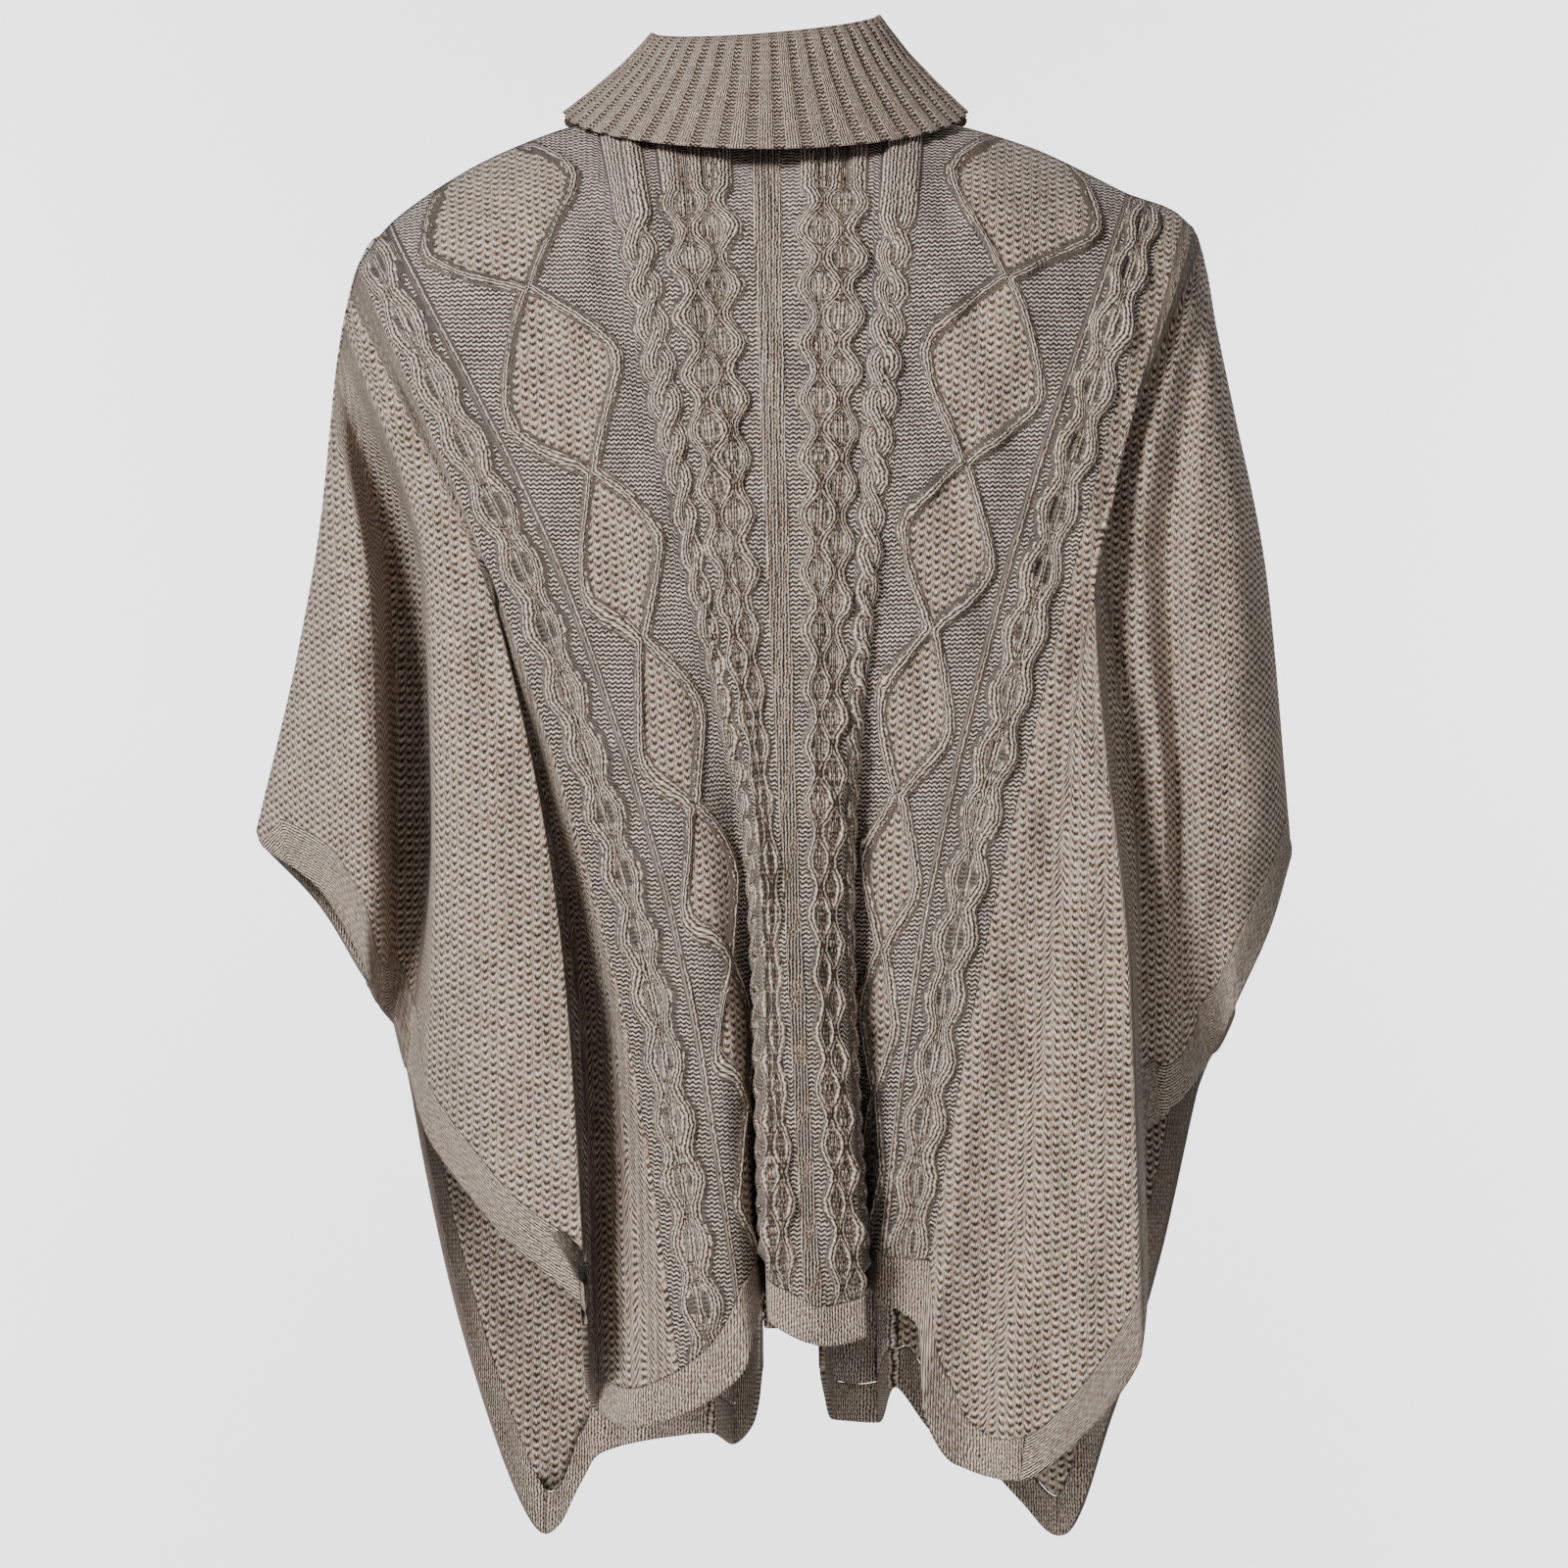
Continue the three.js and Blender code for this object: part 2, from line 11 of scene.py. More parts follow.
import bmesh
import bpy
import numpy as np
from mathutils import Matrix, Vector


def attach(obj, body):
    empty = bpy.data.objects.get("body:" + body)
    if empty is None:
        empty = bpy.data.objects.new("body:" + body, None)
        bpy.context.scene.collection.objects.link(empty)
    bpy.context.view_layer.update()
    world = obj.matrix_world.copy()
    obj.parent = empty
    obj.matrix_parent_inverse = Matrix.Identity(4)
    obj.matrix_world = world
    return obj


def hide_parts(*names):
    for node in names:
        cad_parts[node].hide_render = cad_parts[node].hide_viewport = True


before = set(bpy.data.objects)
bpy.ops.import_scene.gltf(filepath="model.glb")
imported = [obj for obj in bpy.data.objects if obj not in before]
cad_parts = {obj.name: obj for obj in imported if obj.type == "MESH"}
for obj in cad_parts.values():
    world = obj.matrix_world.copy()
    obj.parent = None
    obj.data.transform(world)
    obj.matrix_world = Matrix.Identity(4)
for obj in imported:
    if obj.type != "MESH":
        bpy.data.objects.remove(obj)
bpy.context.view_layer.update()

MM = 0.001
print("plain solids to dress:", len(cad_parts))

# %% [markdown]
# ## How the cloth hangs
# A draped side of a garment is drawn through lines that run down its folds. Each line says where it starts at the
# shoulder, where it is at one and two thirds of the way down and where it ends, and how far it stands out from the
# plane of the shoulders at these four heights. A smooth curve runs through these values both ways. Cloth simulation
# could find such folds too, but it wouldn't land on the folds of one certain photograph, so they are listed one by
# one.

# %% The lines of the back and of the front
LINE_COLUMNS = "name topX topZ x1 x2 hemX hemZ depth0 depth1 depth2 depth3".split()


def table(columns, rows):
    return [dict(zip(columns, row)) for row in rows]


BACK_LINES = table(LINE_COLUMNS, [
    ["cuff tip left", -287, -370, -286, -285, -283, -379, 6, 8, 9, 8],
    ["sleeve left", -265, -276, -261, -257, -252, -402, 22, 30, 34, 26],
    ["lobe left", -250, -191, -233, -228, -228, -443, 36, 56, 56, 34],
    ["valley 1 left", -245, -143, -224, -220, -218, -465, 38, 52, 50, 14],
    ["valley 1", -243, -119, -213, -210, -211, -474, 38, -25, -30, 3],
    ["valley 1 right", -241, -107, -197, -193, -205, -498, 44, 0, -20, 3],
    ["fold 1 left", -239, -96, -193, -189, -196, -530, 50, 84, 88, 30],
    ["fold 1", -237, -86, -172, -150, -154, -586, 54, 100, 114, 84],
    ["corner left", -235.5, -78, -152, -118, -106, -633, 56, 98, 112, 108],
    ["valley 2 left", -234.5, -73, -150, -117, -105, -662, 57, 92, 52, 70],
    ["valley 2", -233.5, -69, -149, -110, -100, -684, 58, 88, 34, 52],
    ["valley 2 right", -232.5, -66, -146.5, -95, -82, -692, 59, 92, 60, 80],
    ["wishbone left", -231.5, -63, -144, -85, -53, -684, 60, 96, 84, 92],
    ["chain left", -215, -41, -114, -52, -20, -658, 70, 101, 97, 96],
    ["diamond left", -159, -4, -95, -38, -13, -626, 84, 107, 98, 68],
    ["rope left", -107, 15, -62, -20, -10, -621, 88, 109, 70, 24],
    ["honeycomb left", -74, 20, -45, -11, -9, -632, 90, 109, 104, 116],
    ["rib left", -18, 8, -10, 1, 12, -645, 90, 110, 110, 126],
    ["rib right", -2, 8, 3, 10, 22, -647, 90, 110, 110, 126],
    ["honeycomb right", 49, 20, 39, 31, 45, -641, 90, 109, 104, 116],
    ["rope right", 82, 16, 56, 37, 43, -622, 88, 108, 72, 34],
    ["diamond right", 133, 2, 91, 57, 46, -617, 84, 105, 88, 58],
    ["chain right", 188, -24, 122, 75, 50, -622, 70, 99, 94, 78],
    ["wishbone right", 208, -31, 155, 108, 72, -638, 66, 95, 96, 84],
    ["fold 2 left", 212, -33, 158, 112, 75, -678, 64, 94, 98, 104],
    ["trough", 216, -36, 161, 127, 94, -712, 63, 92, 92, 92],
    ["corner right", 219, -39, 164, 155, 127, -720, 62, 93, 100, 104],
    ["fold 2", 223, -43, 168, 186, 193, -651, 60, 92, 102, 106],
    ["valley 3 left", 224, -47, 171, 189, 197, -604, 58, 70, 62, 66],
    ["valley 3", 226, -51, 175, 192, 195, -538, 56, 56, 48, 44],
    ["fold 3", 228, -57, 192, 205, 208, -522, 52, 66, 56, 36],
    ["valley 4", 231, -74, 209, 214, 218, -513, 46, 48, 38, 20],
    ["lobe right inner", 235, -95, 221, 226, 231, -495, 42, 60, 60, 3],
    ["lobe right", 245, -143, 242, 246, 245, -464, 34, 56, 56, 32],
    ["sleeve right", 262, -228, 263, 266, 265, -420, 20, 30, 32, 22],
    ["cuff tip right", 275, -370, 275, 276, 276, -383, 6, 8, 9, 8],
])
FRONT_LINES = table(LINE_COLUMNS, [
    ["cuff tip left", -287, -370, -286, -285, -283, -379, 6, 8, 9, 8],
    ["sleeve left", -265, -276, -262, -258, -253, -411, 18, 28, 30, 24],
    ["lobe left", -252, -201, -240, -232, -229, -450, 28, 46, 48, 28],
    ["underarm left", -244, -122, -225, -214, -211, -474, 36, 64, 58, 3],
    ["side seam left", -240, -95, -215, -205, -205, -501, 42, 72, 62, 3],
    ["side edge left", -233, -66, -206, -194, -195, -558, 50, 84, 78, 30],
    ["side fold left", -229, -57, -191, -175, -175, -647, 56, 92, 92, 60],
    ["corner left", -227, -53, -156, -134, -131, -755, 60, 94, 98, 86],
    ["flute 1", -223, -48, -143, -110, -100, -711, 64, 98, 106, 96],
    ["flute 2", -218, -45, -131, -82, -68, -703, 68, 104, 110, 98],
    ["chain left", -213, -41, -121, -58, -41, -700, 70, 106, 104, 94],
    ["tube 1", -159, -4, -84, -40, -28, -707, 72, 110, 114, 118],
    ["rope left", -107, 15, -47, -24, -16, -694, 72, 112, 112, 112],
    ["neck left", -88, 20, -38, -20, -13, -680, 84, 113, 108, 104],
    ["neck turn left", -72, 20, -32, -18, -12, -670, 88, 114, 106, 96],
    ["band left", -23, 8, -17, -13, -11, -664, 90, 114, 104, 92],
    ["centre front", -11, 8, -5, -2, -1, -664, 90, 115, 110, 100],
    ["band right", 3, 8, 7, 13, 19, -664, 90, 114, 106, 94],
    ["neck turn right", 52, 20, 20, 16, 20, -670, 88, 114, 106, 96],
    ["neck right", 68, 20, 26, 18, 22, -680, 84, 113, 108, 104],
    ["rope right", 84, 16, 33, 22, 26, -693, 72, 112, 112, 112],
    ["tube 2", 135, 1, 69, 46, 52, -695, 72, 110, 114, 118],
    ["chain right", 188, -24, 109, 66, 61, -675, 70, 106, 104, 92],
    ["flute 3", 197, -27, 121, 86, 83, -702, 66, 102, 108, 98],
    ["flute 4", 206, -30, 134, 110, 112, -719, 62, 98, 104, 104],
    ["corner right", 213, -34, 154, 144, 152, -756, 60, 94, 98, 90],
    ["side fold right", 218, -38, 172, 172, 180, -689, 58, 90, 90, 70],
    ["side edge right", 224, -45, 193, 196, 205, -604, 54, 84, 80, 40],
    ["side seam right", 230, -66, 215, 216, 226, -508, 46, 72, 62, 3],
    ["underarm right", 235, -95, 224, 228, 232, -493, 40, 62, 54, 3],
    ["lobe right", 248, -159, 245, 249, 248, -456, 30, 48, 46, 26],
    ["sleeve right", 263, -238, 264, 267, 266, -417, 18, 28, 28, 20],
    ["cuff tip right", 275, -370, 275, 276, 276, -383, 6, 8, 9, 8],
])
print("lines down the back:", len(BACK_LINES), "and down the front:", len(FRONT_LINES))

# %% [markdown]
# ## Curves that never overshoot
# A common spline swings past its points, and a fold drawn with one would bulge where the cloth lies flat. Here the
# slope at each point is the harmonic mean of the steps beside it, and none at a crest or a valley, so the curve
# stays between its points. Numpy works out thousands of points in one go.

# %% A smooth curve through evenly spaced values
def through(values, at):
    """Values along the first axis of an array, read at the places `at`, which may lie between them."""
    values = np.asarray(values, float)
    steps = np.diff(values, axis=0)
    before, after = steps[:-1], steps[1:]
    turns = before * after <= 0
    slopes = np.zeros_like(values)
    slopes[0], slopes[-1] = steps[0], steps[-1]
    slopes[1:-1] = np.where(turns, 0, 2 * before * after / np.where(turns, 1, before + after))
    start = np.clip(np.floor(at).astype(int), 0, len(values) - 2)
    share = at - start

    def pick(array, index):
        return array[index] if array.ndim == 1 else np.take_along_axis(array, index[None], 0)[0]

    first, step = pick(values, start), pick(steps, start)
    slope0, slope1 = pick(slopes, start), pick(slopes, start + 1)
    bend = slope0 + slope1 - 2 * step
    return first + share * (slope0 + share * (3 * step - 2 * slope0 - slope1 + share * bend))


def mix(a, b, share):
    return a + (b - a) * share


def smooth(share):
    """An even rise from 0 to 1."""
    share = np.clip(share, 0, 1)
    return share * share * (3 - 2 * share)


print("halfway between 2 and 4:", through([1.0, 2.0, 4.0, 5.0], np.array([1.5])))

# %% [markdown]
# ## The two sides of the garment
# `u` counts the lines from the left, and `v` runs from the shoulder, 0, to the lower edge, 1. Over the shoulder the
# cloth rounds from one side to the other. A little crumpling is added, because no knitting hangs perfectly smooth.

# %% The side's surface
WALL = 3
SEAM = 0.3
BAND = 21
SHOULDER = 70
HOLLOW = 45
STEEPEST_HEM = 1.7
NECK = dict(x=-10, wide=78, depth=90, sideZ=20, backZ=8, frontZ=-32)
CRUMPLES = table("size x_turns z_turns phase".split(), [
    [1.3, 0.021, 0.0065, 0.4],
    [0.9, -0.016, 0.011, 2.1],
    [0.7, 0.034, -0.005, 4.0],
    [0.5, 0.047, 0.014, 1.2],
])


def round_over(turned):
    """The share of its full depth that the cloth has after some share of its turn over the shoulder."""
    return np.sqrt(1 - (1 - np.clip(turned, 0, 1)) ** 2)


class Side:
    """The back, side -1, or the front, side 1."""

    def __init__(self, lines, side):
        self.side = side
        self.last = len(lines) - 1
        self.names = [line["name"] for line in lines]
        column = {key: np.array([line[key] for line in lines], float) for key in LINE_COLUMNS[1:]}
        self.top_x, self.top_z, self.hem_z = column["topX"], column["topZ"], column["hemZ"]
        self.across = [column[key] for key in ("topX", "x1", "x2", "hemX")]
        self.out = [column[key] for key in ("depth0", "depth1", "depth2", "depth3")]

    def line(self, name):
        return self.names.index(name)

    def down_the(self, columns, u, v):
        return through(np.stack([through(values, u) for values in columns]), v * (len(columns) - 1))

    def point(self, u, v):
        """Points of the cloth, one in each row of an array."""
        x_top, shoulder_z = through(self.top_x, u), through(self.top_z, u)
        across = np.clip(np.abs(x_top - NECK["x"]) / NECK["wide"], 0, 1)
        low_z = NECK["backZ"] if self.side < 0 else NECK["frontZ"]
        neck_z = mix(NECK["sideZ"], low_z, np.sqrt(1 - across**2))
        at_neck = across < 1
        top_z = np.where(at_neck, neck_z, shoulder_z)
        shoulder_z = np.where(at_neck, NECK["sideZ"], shoulder_z)
        length = top_z - through(self.hem_z, u)
        z = top_z - v * length
        x = self.down_the(self.across, u, v)
        round_off = round_over((shoulder_z - z) / np.minimum(SHOULDER, length / 3))
        depth = self.down_the(self.out, u, v)
        crumple = sum(
            row["size"] * np.sin(2 * math.pi * (row["x_turns"] * x + row["z_turns"] * z) + row["phase"])
            for row in CRUMPLES
        )
        depth = (depth + crumple * smooth((depth - 12) / 40)) * round_off
        return np.stack([x, self.side * np.maximum(depth, self.lowest(v)), z], axis=-1)

    def lowest(self, v):
        """The least depth at which the cloth may lie: its own side of the plane at both ends, and past it between."""
        return SEAM / 2 - HOLLOW * smooth((v - 0.05) / 0.2) * smooth((0.98 - v) / 0.2)

    def slopes(self, u, v):
        step = 1e-3
        u0, u1 = np.maximum(u - step, 0), np.minimum(u + step, self.last)
        v0, v1 = np.maximum(v - step, 0), np.minimum(v + step, 1)
        along = (self.point(u1, v) - self.point(u0, v)) / (u1 - u0)[:, None]
        down = (self.point(u, v1) - self.point(u, v0)) / (v1 - v0)[:, None]
        return along, down

    def raised(self, u, v, height):
        """Points moved out from the cloth by some height, or in by a negative one."""
        along, down = self.slopes(u, v)
        out = np.cross(along, down) * self.side
        out /= np.linalg.norm(out, axis=1, keepdims=True)
        points = self.point(u, v) + out * np.broadcast_to(height, u.shape)[:, None]
        points[:, 1] = self.side * np.maximum(points[:, 1] * self.side, self.lowest(v))
        return points

    def band_top(self, u, width):
        """The share of the way down at which a strip of some width along the lower edge starts."""
        reach = 0.7
        ones = np.ones_like(u)
        along = self.point(np.minimum(u + reach, self.last), ones) - self.point(np.maximum(u - reach, 0), ones)
        rise = along[:, 2] / np.hypot(along[:, 0], along[:, 1])
        length = self.point(u, 0 * u)[:, 2] - self.point(u, ones)[:, 2]
        return 1 - np.minimum(BAND * np.minimum(np.hypot(1, rise), STEEPEST_HEM) / length, 0.4) * width / BAND


back = Side(BACK_LINES, -1)
front = Side(FRONT_LINES, 1)
print("middle of the back's hem, mm:", back.point(np.array([17.5]), np.array([1.0])).round(0))

# %% [markdown]
# ## Stitch places
# A pattern of stitches has to follow the cloth, so each point gets its place on the flat knitting, in mm. Two kinds
# of place are needed. Moss and bands hang straight, so theirs are simply the distances along the cloth sideways and
# downwards. A cable runs along its line, so its places are measured square to the line and along it.

# %% The place of each point on the flat knitting
STITCH_WIDE = 3.4
STITCH_HIGH = 2.5
STEEPEST = 1.2
Flat = namedtuple("Flat", "wide tall square slip")


def summed(steps, axis):
    """Running sums that start at nothing."""
    first = np.zeros_like(steps.take([0], axis=axis))
    return np.concatenate([first, np.cumsum(steps, axis=axis)], axis=axis)


def lean(points):
    """How steeply the cloth stands out upwards at each point of a grid."""
    by_row, by_column = np.gradient(points, axis=1), np.gradient(points, axis=0)
    turn = by_row[..., 0] * by_column[..., 2] - by_column[..., 0] * by_row[..., 2]
    turn = np.where(np.abs(turn) < 1e-6, 1e-6, turn)
    upwards = (by_row[..., 0] * by_column[..., 1] - by_column[..., 0] * by_row[..., 1]) / turn
    return np.clip(upwards, -STEEPEST, STEEPEST)


def between(values, axis):
    """The mean of each pair of neighbours."""
    count = values.shape[axis]
    return (values.take(range(1, count), axis) + values.take(range(count - 1), axis)) / 2


def evened(by_rows, by_columns, home):
    """Sums along the columns, each set off by what the sums along the rows say on average."""
    offset = (by_rows - by_rows[:, [home]] + by_columns[:, [home]] - by_columns).mean(axis=0)
    return by_columns + offset


def laid_flat(points, home):
    """The places of a grid of points on the flat cloth, where the column `home` keeps its own place."""
    across, fall = np.diff(points, axis=1), np.diff(points, axis=0)
    upwards = lean(points)
    wide_rows = summed(np.hypot(across[..., 0], across[..., 1] - between(upwards, 1) * across[..., 2]), 1)
    tall_rows = summed(-across[..., 2] * np.hypot(1, between(upwards, 1)), 1)
    tall_columns = summed(-fall[..., 2] * np.hypot(1, between(upwards, 0)), 0) - points[0, home, 2]
    wide, tall = evened(wide_rows, points[..., 0], home), evened(tall_rows, tall_columns, home)

    down = np.gradient(points, axis=0)
    down = down[:, 1:] + down[:, :-1]
    down /= np.maximum(np.linalg.norm(down, axis=2, keepdims=True), 1e-9)
    slip = (across * down).sum(axis=2)
    square = summed(np.linalg.norm(across - slip[..., None] * down, axis=2), 1)
    return Flat(wide, tall, square, summed(slip, 1))


print("stitches in 100 mm, across and down:", round(100 / STITCH_WIDE), round(100 / STITCH_HIGH))

# %% [markdown]
# ## A wall of knitting
# Each piece is a closed wall: a fine grid outside, which carries the cables, and a coarser plain one inside. Blender
# makes both grids, their points are moved to their places on the cloth, and `bridge_loops` sews the rims together.
# The Solidify modifier would be shorter, but it would press every cable through to the inside and double the faces.

# %% Two grids made into one closed wall
Knit = namedtuple("Knit", "height wale row moss purl knit pit")


def plain(wide, tall, moss=0.0, purl=0.0, knit=0.0):
    """Flat knitting of one kind."""
    ones = np.ones_like(wide)
    return Knit(0 * ones, wide, tall, moss * ones, purl * ones, knit * ones, 0 * ones)


def wall_mesh(name, grids, knits):
    """A closed mesh between two grids of points in mm, with the stitch places and kinds of each point."""
    bm = bmesh.new()
    for points in grids:
        made = bmesh.ops.create_grid(bm, x_segments=points.shape[1] - 1, y_segments=points.shape[0] - 1, size=1)
        for vert, point in zip(made["verts"], points.reshape(-1, 3) * MM):
            vert.co = point
    rims = [edge for edge in bm.edges if edge.is_boundary]
    bmesh.ops.bridge_loops(bm, edges=rims)
    bmesh.ops.recalc_face_normals(bm, faces=bm.faces)
    mesh = bpy.data.meshes.new(name)
    bm.to_mesh(mesh)
    open_edges = sum(1 for edge in bm.edges if len(edge.link_faces) != 2)
    bm.free()
    mesh.shade_smooth()
    stitch_places(mesh, knits)
    piece = bpy.data.objects.new(name + "_wool", mesh)
    bpy.context.scene.collection.objects.link(piece)
    triangles = sum(len(face.vertices) - 2 for face in mesh.polygons)
    print(f"{name}: {triangles} triangles, {open_edges} open edges")
    return piece


def stitch_places(mesh, knits):
    """Writes the stitch places as a UV map, and the kind of stitch and the painted shade of the pits as a colour
    attribute.
    """
    def flat(key):
        return np.concatenate([np.broadcast_to(getattr(knit, key), knit.height.shape).ravel() for knit in knits])

    places = np.stack([flat("wale") / STITCH_WIDE, flat("row") / STITCH_HIGH], axis=1)
    corners = np.empty(len(mesh.loops), dtype=np.int32)
    mesh.loops.foreach_get("vertex_index", corners)
    layer = mesh.uv_layers.new(name="stitches")
    layer.data.foreach_set("uv", places[corners].astype(np.float32).ravel())
    # The alpha channel holds painted shade for the pits where strands meet.
    stitch_kinds_and_shade = np.stack([flat("moss"), flat("purl"), flat("knit"), flat("pit")], axis=1)
    attribute = mesh.attributes.new("stitch_kinds_and_shade", "FLOAT_COLOR", "POINT")
    attribute.data.foreach_set("color", stitch_kinds_and_shade.astype(np.float32).ravel())


COARSE = 4
COARSE_FROM = 50


def piece_of(name, sheet, columns, rows, tops, bottoms, knitted, inside):
    """A wall over part of a side. `tops` and `bottoms` are the shares of the way down for each column."""
    grids, knits = [], []
    home = len(columns) // 2
    for step in (1, COARSE if rows > COARSE_FROM else 1):
        picked = np.unique(np.append(np.arange(0, len(columns), step), [home, len(columns) - 1]))
        shares = np.linspace(0, 1, rows // step + 1)
        u, share = np.meshgrid(columns[picked], shares)
        v = mix(tops[picked], bottoms[picked], share)
        for end, turn in ((0, 1), (-1, -1)):
            along, down = sheet.slopes(u[:, end], v[:, end])
            inset = np.linalg.norm(down, axis=1) / np.linalg.norm(np.cross(along, down), axis=1)
            u[:, end] += turn * SEAM / 2 * inset
        base = sheet.point(u.ravel(), v.ravel()).reshape(*u.shape, 3)
        flat = laid_flat(base, int(np.searchsorted(picked, home)))
        knit = inside(flat) if grids else knitted(shares, flat)
        height = -WALL if grids else knit.height
        points = sheet.raised(u.ravel(), v.ravel(), np.broadcast_to(height, u.shape).ravel())
        grids.append(points.reshape(*u.shape, 3))
        knits.append(knit)
    return wall_mesh(name, grids, knits)


# %% [markdown]
# ## The cables
# A cable is a few strands of knitting that pass over each other. Each stitch pattern below gives, for every point of
# its strip, how high it is raised and which column of stitches it belongs to. The columns of a strand follow the
# strand, which is what makes a cable look knitted and not moulded. `x` is the distance across the strip, and `down`
# is the distance down it, both in mm.

# %% Strands on a ground
CABLE = 4.5
STRAND = 3.2
CHAIN = 1.5
CHAIN_HALF = 1.8
RIB = 1.5
FADE = 12
START = 2
SHADE = 0.7
CABLE_STITCH = 4.2


def strands(x, down, ground, *runs):
    """Rounded strands, each given by its middle, half width and height, on a ground of purl or moss."""
    height, wale = np.zeros_like(x), x.copy()
    edge = np.full_like(x, 10.0)
    for middle, half, top in runs:
        off = (x - middle) / half
        rise = top * np.maximum(0, 1 - off**2) ** 0.5
        wins = rise > height
        meets = np.abs(rise - height) / (top / half)
        edge = np.where(wins | (rise > 0), np.minimum(np.where(wins, 10.0, edge), meets), edge)
        wale = np.where(wins, (x - middle) * STITCH_WIDE / CABLE_STITCH, wale)
        height = np.where(wins, rise, height)
    knit = (height > 0).astype(float)
    # Painted shade: the strand's colour darkens where it meets another strand or the ground.
    pit = np.exp(-((edge / SHADE) ** 2)) * knit
    moss = ground * (1 - knit)
    purl = (1 - ground) * (1 - knit)
    return Knit(height, wale, down + 0 * x, moss, purl, knit, pit)


# %% [markdown]
# A rope is two strands wound round each other. Seen from the front each strand in turn runs over the other from one
# side to its other side.

# %% The rope, the wishbone and the honeycomb
ROPE_CROSS = 20.5
ROPE_HALF = 10.5
ROPE_FIRST = 41
WISHBONE_EYE = 33
HONEYCOMB_EYE = 31
HONEYCOMB_FIRST = 38.75


def rope(x, width, down, share):
    half = np.minimum(ROPE_HALF, 0.5 * width)
    turn = math.pi * np.maximum(down, ROPE_FIRST) / ROPE_CROSS
    swing, over = 0.42 * half * np.cos(turn), 0.3 * np.sin(turn)
    runs = [
        (width / 2 + swing, 0.6 * half, CABLE * (0.8 + over)),
        (width / 2 - swing, 0.6 * half, CABLE * (0.8 - over)),
    ]
    return strands(x, down, 0.0, *runs)


def wishbone(x, width, down, share):
    open_ = (0.5 - 0.5 * np.cos(2 * math.pi * down / WISHBONE_EYE)) ** 0.8
    cable = np.minimum(0.93 * width, 26)
    middle = 0.48 * width
    part = cable * (0.15 + 0.17 * open_)
    runs = [
        (middle - part, 0.175 * cable, CABLE),
        (middle + part, 0.175 * cable, CABLE),
        (middle, 0.1 * cable, 0.55 * CABLE),
        (width, CHAIN_HALF, CHAIN),
    ]
    return strands(x, down, 0.0, *runs)


def honeycomb(x, width, down, share):
    swing = np.cos(2 * math.pi * np.maximum(down, HONEYCOMB_FIRST) / HONEYCOMB_EYE)
    start, span = 0.03 * width, 0.8 * width
    moving = [(0.18 + 0.11 * swing), (0.49 - 0.12 * swing), (0.81 + 0.11 * swing)]
    runs = [(start + span * at, 0.15 * span, CABLE) for at in moving]
    runs += [(start + span * at, 0.06 * span, 0.75 * CABLE) for at in (0.285, 0.385, 0.605, 0.705)]
    return strands(x, down, 0.0, *runs)


# %% [markdown]
# The diamonds are a lattice of two single strands on a purl ground, and each diamond is filled with moss stitch. The
# fine rib down the middle is five narrow columns.

# %% The diamonds, the fine rib and the moss ground
DIAMOND_CROSSINGS = [-0.03, 0.12, 0.29, 0.44, 0.59, 0.73, 0.86, 1]
STRAND_HALF = 3.6
CORNER = 0.22
FINE_RIBS = 5


def diamonds(x, width, down, share):
    below = np.clip(np.searchsorted(DIAMOND_CROSSINGS, share, side="right"), 1, len(DIAMOND_CROSSINGS) - 1)
    start, end = np.take(DIAMOND_CROSSINGS, below - 1), np.take(DIAMOND_CROSSINGS, below)
    off = 2 * (share - start) / (end - start) - 1
    apart = (math.hypot(1, CORNER) - np.hypot(off, CORNER)) / (math.hypot(1, CORNER) - CORNER)
    half = np.minimum(STRAND_HALF, 0.08 * width)
    part = mix(0.4 * half, 0.42 * width - half, apart)
    filled = smooth((part - np.abs(x - width / 2)) / 2 + 0.5)
    runs = [(width / 2 - part, half, STRAND), (width / 2 + part, half, STRAND), (0 * width, CHAIN_HALF, CHAIN)]
    return strands(x, down, filled, *runs)


def fine_rib(x, width, down, share):
    half = width / FINE_RIBS / 2
    runs = [(half * (2 * rib + 1), half, RIB) for rib in range(FINE_RIBS)]
    knit = strands(x, down, 0.0, *runs)
    return knit._replace(wale=(x / half / 4 + 0.25) * STITCH_WIDE, knit=np.ones_like(x), purl=np.zeros_like(x))


def moss(wide, tall):
    return plain(wide, tall, moss=1.0)


print("stitch patterns:", [pattern.__name__ for pattern in (rope, wishbone, honeycomb, diamonds, fine_rib, moss)])

# %% [markdown]
# ## Panels
# A panel is a row of strips, each from one line to the next named one. Where a strip is mirrored, it is read from
# its right. Cables sink into the cloth at their ends.

# %% Strips side by side
STRIP_COLUMNS = "line pattern mirrored points".split()


def strip_places(sheet, strips):
    """The places of a panel's columns, and for each strip its first and last column."""
    places, spans = [], []
    for strip, after in zip(strips, strips[1:]):
        left, right = sheet.line(strip["line"]), sheet.line(after["line"])
        spans.append((len(places), len(places) + strip["points"]))
        places += list(np.linspace(left, right, strip["points"], endpoint=False))
    return np.array(places + [float(sheet.line(strips[-1]["line"]))]), spans


def strip_knit(strip, first, last, shares, flat):
    """The knitting of one strip, which goes from its first column up to its last."""
    cut = slice(first, last)
    wide, tall = flat.wide[:, cut], flat.tall[:, cut]
    if strip["pattern"] is moss:
        return moss(wide, tall)
    x, width = flat.square[:, cut] - flat.square[:, [first]], flat.square[:, [last]] - flat.square[:, [first]]
    middle = (first + last) // 2
    down = flat.slip[:, cut] - flat.slip[:, [middle]] + flat.tall[:, [middle]]
    across = width - x if strip["mirrored"] else x
    knit = strip["pattern"](across, width, down, shares[:, None] + 0 * x)
    ground = (knit.knit == 0) | (strip["pattern"] is fine_rib)
    return knit._replace(wale=np.where(ground, wide, knit.wale), row=np.where(ground, tall, down))


